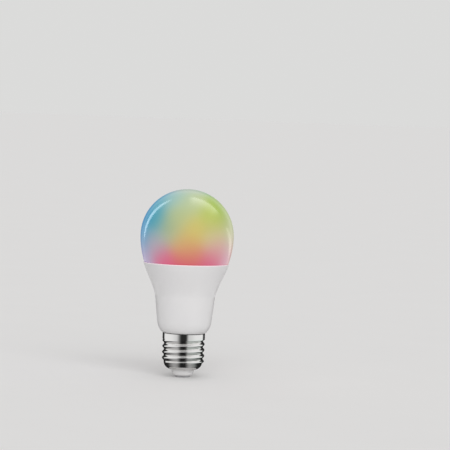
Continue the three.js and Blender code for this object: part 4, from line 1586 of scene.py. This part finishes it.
def build_lights():
    bright = glowing("strip_light", (236, 246, 252), 4.4)
    add_card("left_strip", bright, steps_between((111, 116), (126, 187)), 10.5, 0.3, taper=True)
    soft = glowing("streak_light", (255, 255, 244), 1.6)
    veil = veil_material()
    add_card("right_strip", soft, steps_between((112, 14), (140, -21)), 15, 0.3, taper=True)
    for k in range(4):
        off_axis = 106 - 12 * k
        path = steps_between((off_axis, 94), (off_axis, 32))
        add_card(f"upper_veil_{k}", veil, path, 12, 0.5)
    shade = shade_material()
    for k in range(3):
        off_axis = 146 + 14 * k
        path = steps_between((off_axis, 0), (off_axis, 360), 48)
        add_card(f"rear_shade_{k}", shade, path, 14, 0.45)
    build_world()
    sun = bpy.data.lights.new("front_sun", "SUN")
    sun.energy = 1.1
    sun.angle = math.radians(50)
    lamp = bpy.data.objects.new("front_sun", sun)
    lamp.rotation_euler = (math.radians(58), 0, math.radians(12))
    lamp.visible_glossy = False
    SCENE.collection.objects.link(lamp)


def shaded_card(name, shade):
    """A light by shade(glow, angle), where the angle is in degrees from the front, to either side.

    It is a little greener low down on the right."""
    glow = Glow(name)
    x, y, z = glow.axes()
    angle = glow.math("ARCTAN2", glow.math("ABSOLUTE", x), glow.math("MULTIPLY", y, -1.0))
    value = shade(glow, glow.math("MULTIPLY", angle, 360 / TURN))
    cool = glow.product(glow.level(x, 3.0, 20.0), glow.level(z, 19.0, 24.0, 1.0, 0.0))
    shares = (0.93, 1.0, 0.97)
    return glow.pattern(*(glow.product(value, glow.level(cool, 0.0, 1.0, 1.0, s)) for s in shares))


def ring_card(name, material, profile):
    """A card all round the bulb, along (distance, height) points, which only reflections show."""
    bm = bmesh.new()
    rings = [add_ring(bm, radius, z) for radius, z in profile]
    for inner, outer in zip(rings, rings[1:]):
        bridge(bm, inner, outer)
    glossy_only(stage_mesh(name, bm, material))


def wall_shade(glow, angle):
    """Bright to both sides of a dark front, dark again further round, and pale behind."""
    x, _, height = glow.axes()
    left = glow.product(glow.level(angle, 5.0, 36.0), glow.math("LESS_THAN", x, 0.0), 0.7)
    right = glow.product(glow.level(angle, 7.0, 27.0), glow.math("GREATER_THAN", x, 0.0), 0.7)
    far = glow.level(angle, 25.0, 75.0, 0.0, 0.3)
    bright = glow.math("ADD", glow.math("ADD", left, right), far)
    side = glow.level(bright, 0.0, 1.0, glow.level(height, 27.0, 36.0, 0.03, 0.5), 1.02)
    back = glow.level(angle, 104.0, 119.0, 1.0, 0.03)
    low = glow.level(height, 1.0, 13.0, 0.4, 1.0)
    behind = glow.level(angle, 150.0, 168.0, 0.0, 0.6)
    return glow.math("ADD", glow.product(side, back, low), behind)


def floor_shade(glow, angle):
    """The same pattern, weaker, for the card that lies under the cap."""
    side = glow.level(angle, 8.0, 34.0, 0.02, 0.42)
    flank = glow.level(angle, 42.0, 90.0, 1.0, 0.06)
    behind = glow.level(angle, 150.0, 172.0, 0.0, 0.5)
    return glow.math("ADD", glow.product(side, flank), behind)


def build_flags():
    """Cards that give the polished cap its dark bands and bright sides."""
    outer, inner, foot, roof = 0.0399, 0.0205, 0.0003, 0.05
    wall = shaded_card("wall_card", wall_shade)
    ring_card("cap_wall", wall, [(outer, foot), (outer, roof), (inner, roof)])
    ring_card("cap_floor", shaded_card("under_card", floor_shade), [(0.012, foot), (0.04, foot)])


def build_camera():
    camera = bpy.data.cameras.new("camera")
    camera.lens = CAMERA_LENS
    camera.clip_start, camera.clip_end = 0.05, 100
    low, high = CAD_BOX
    centre = (low + high) / 2
    tilt = math.radians(CAMERA_ELEVATION)
    back = Vector((0, -math.cos(tilt), math.sin(tilt)))
    up = Vector((0, math.sin(tilt), math.cos(tilt)))
    made = bpy.data.objects.new("camera", camera)
    made.location = centre + back * CAMERA_DISTANCE
    target = centre + Vector((LOOK_BESIDE[0], 0, 0)) + up * LOOK_BESIDE[1]
    made.rotation_mode = "QUATERNION"
    aim = (target - made.location).to_track_quat("-Z", "Y")
    made.rotation_quaternion = aim @ Quaternion((0, 0, 1), math.radians(CAMERA_ROLL))
    SCENE.collection.objects.link(made)
    SCENE.camera = made


# ---------------------------------------------------------------- the whole
build_globe()
housing = housing_material()
build_housing(housing)
build_screw_shell()
build_insulator()
build_contact()
build_inside(housing)
build_floor()
build_lights()
build_flags()
build_camera()
SCENE.view_settings.view_transform = "Standard"
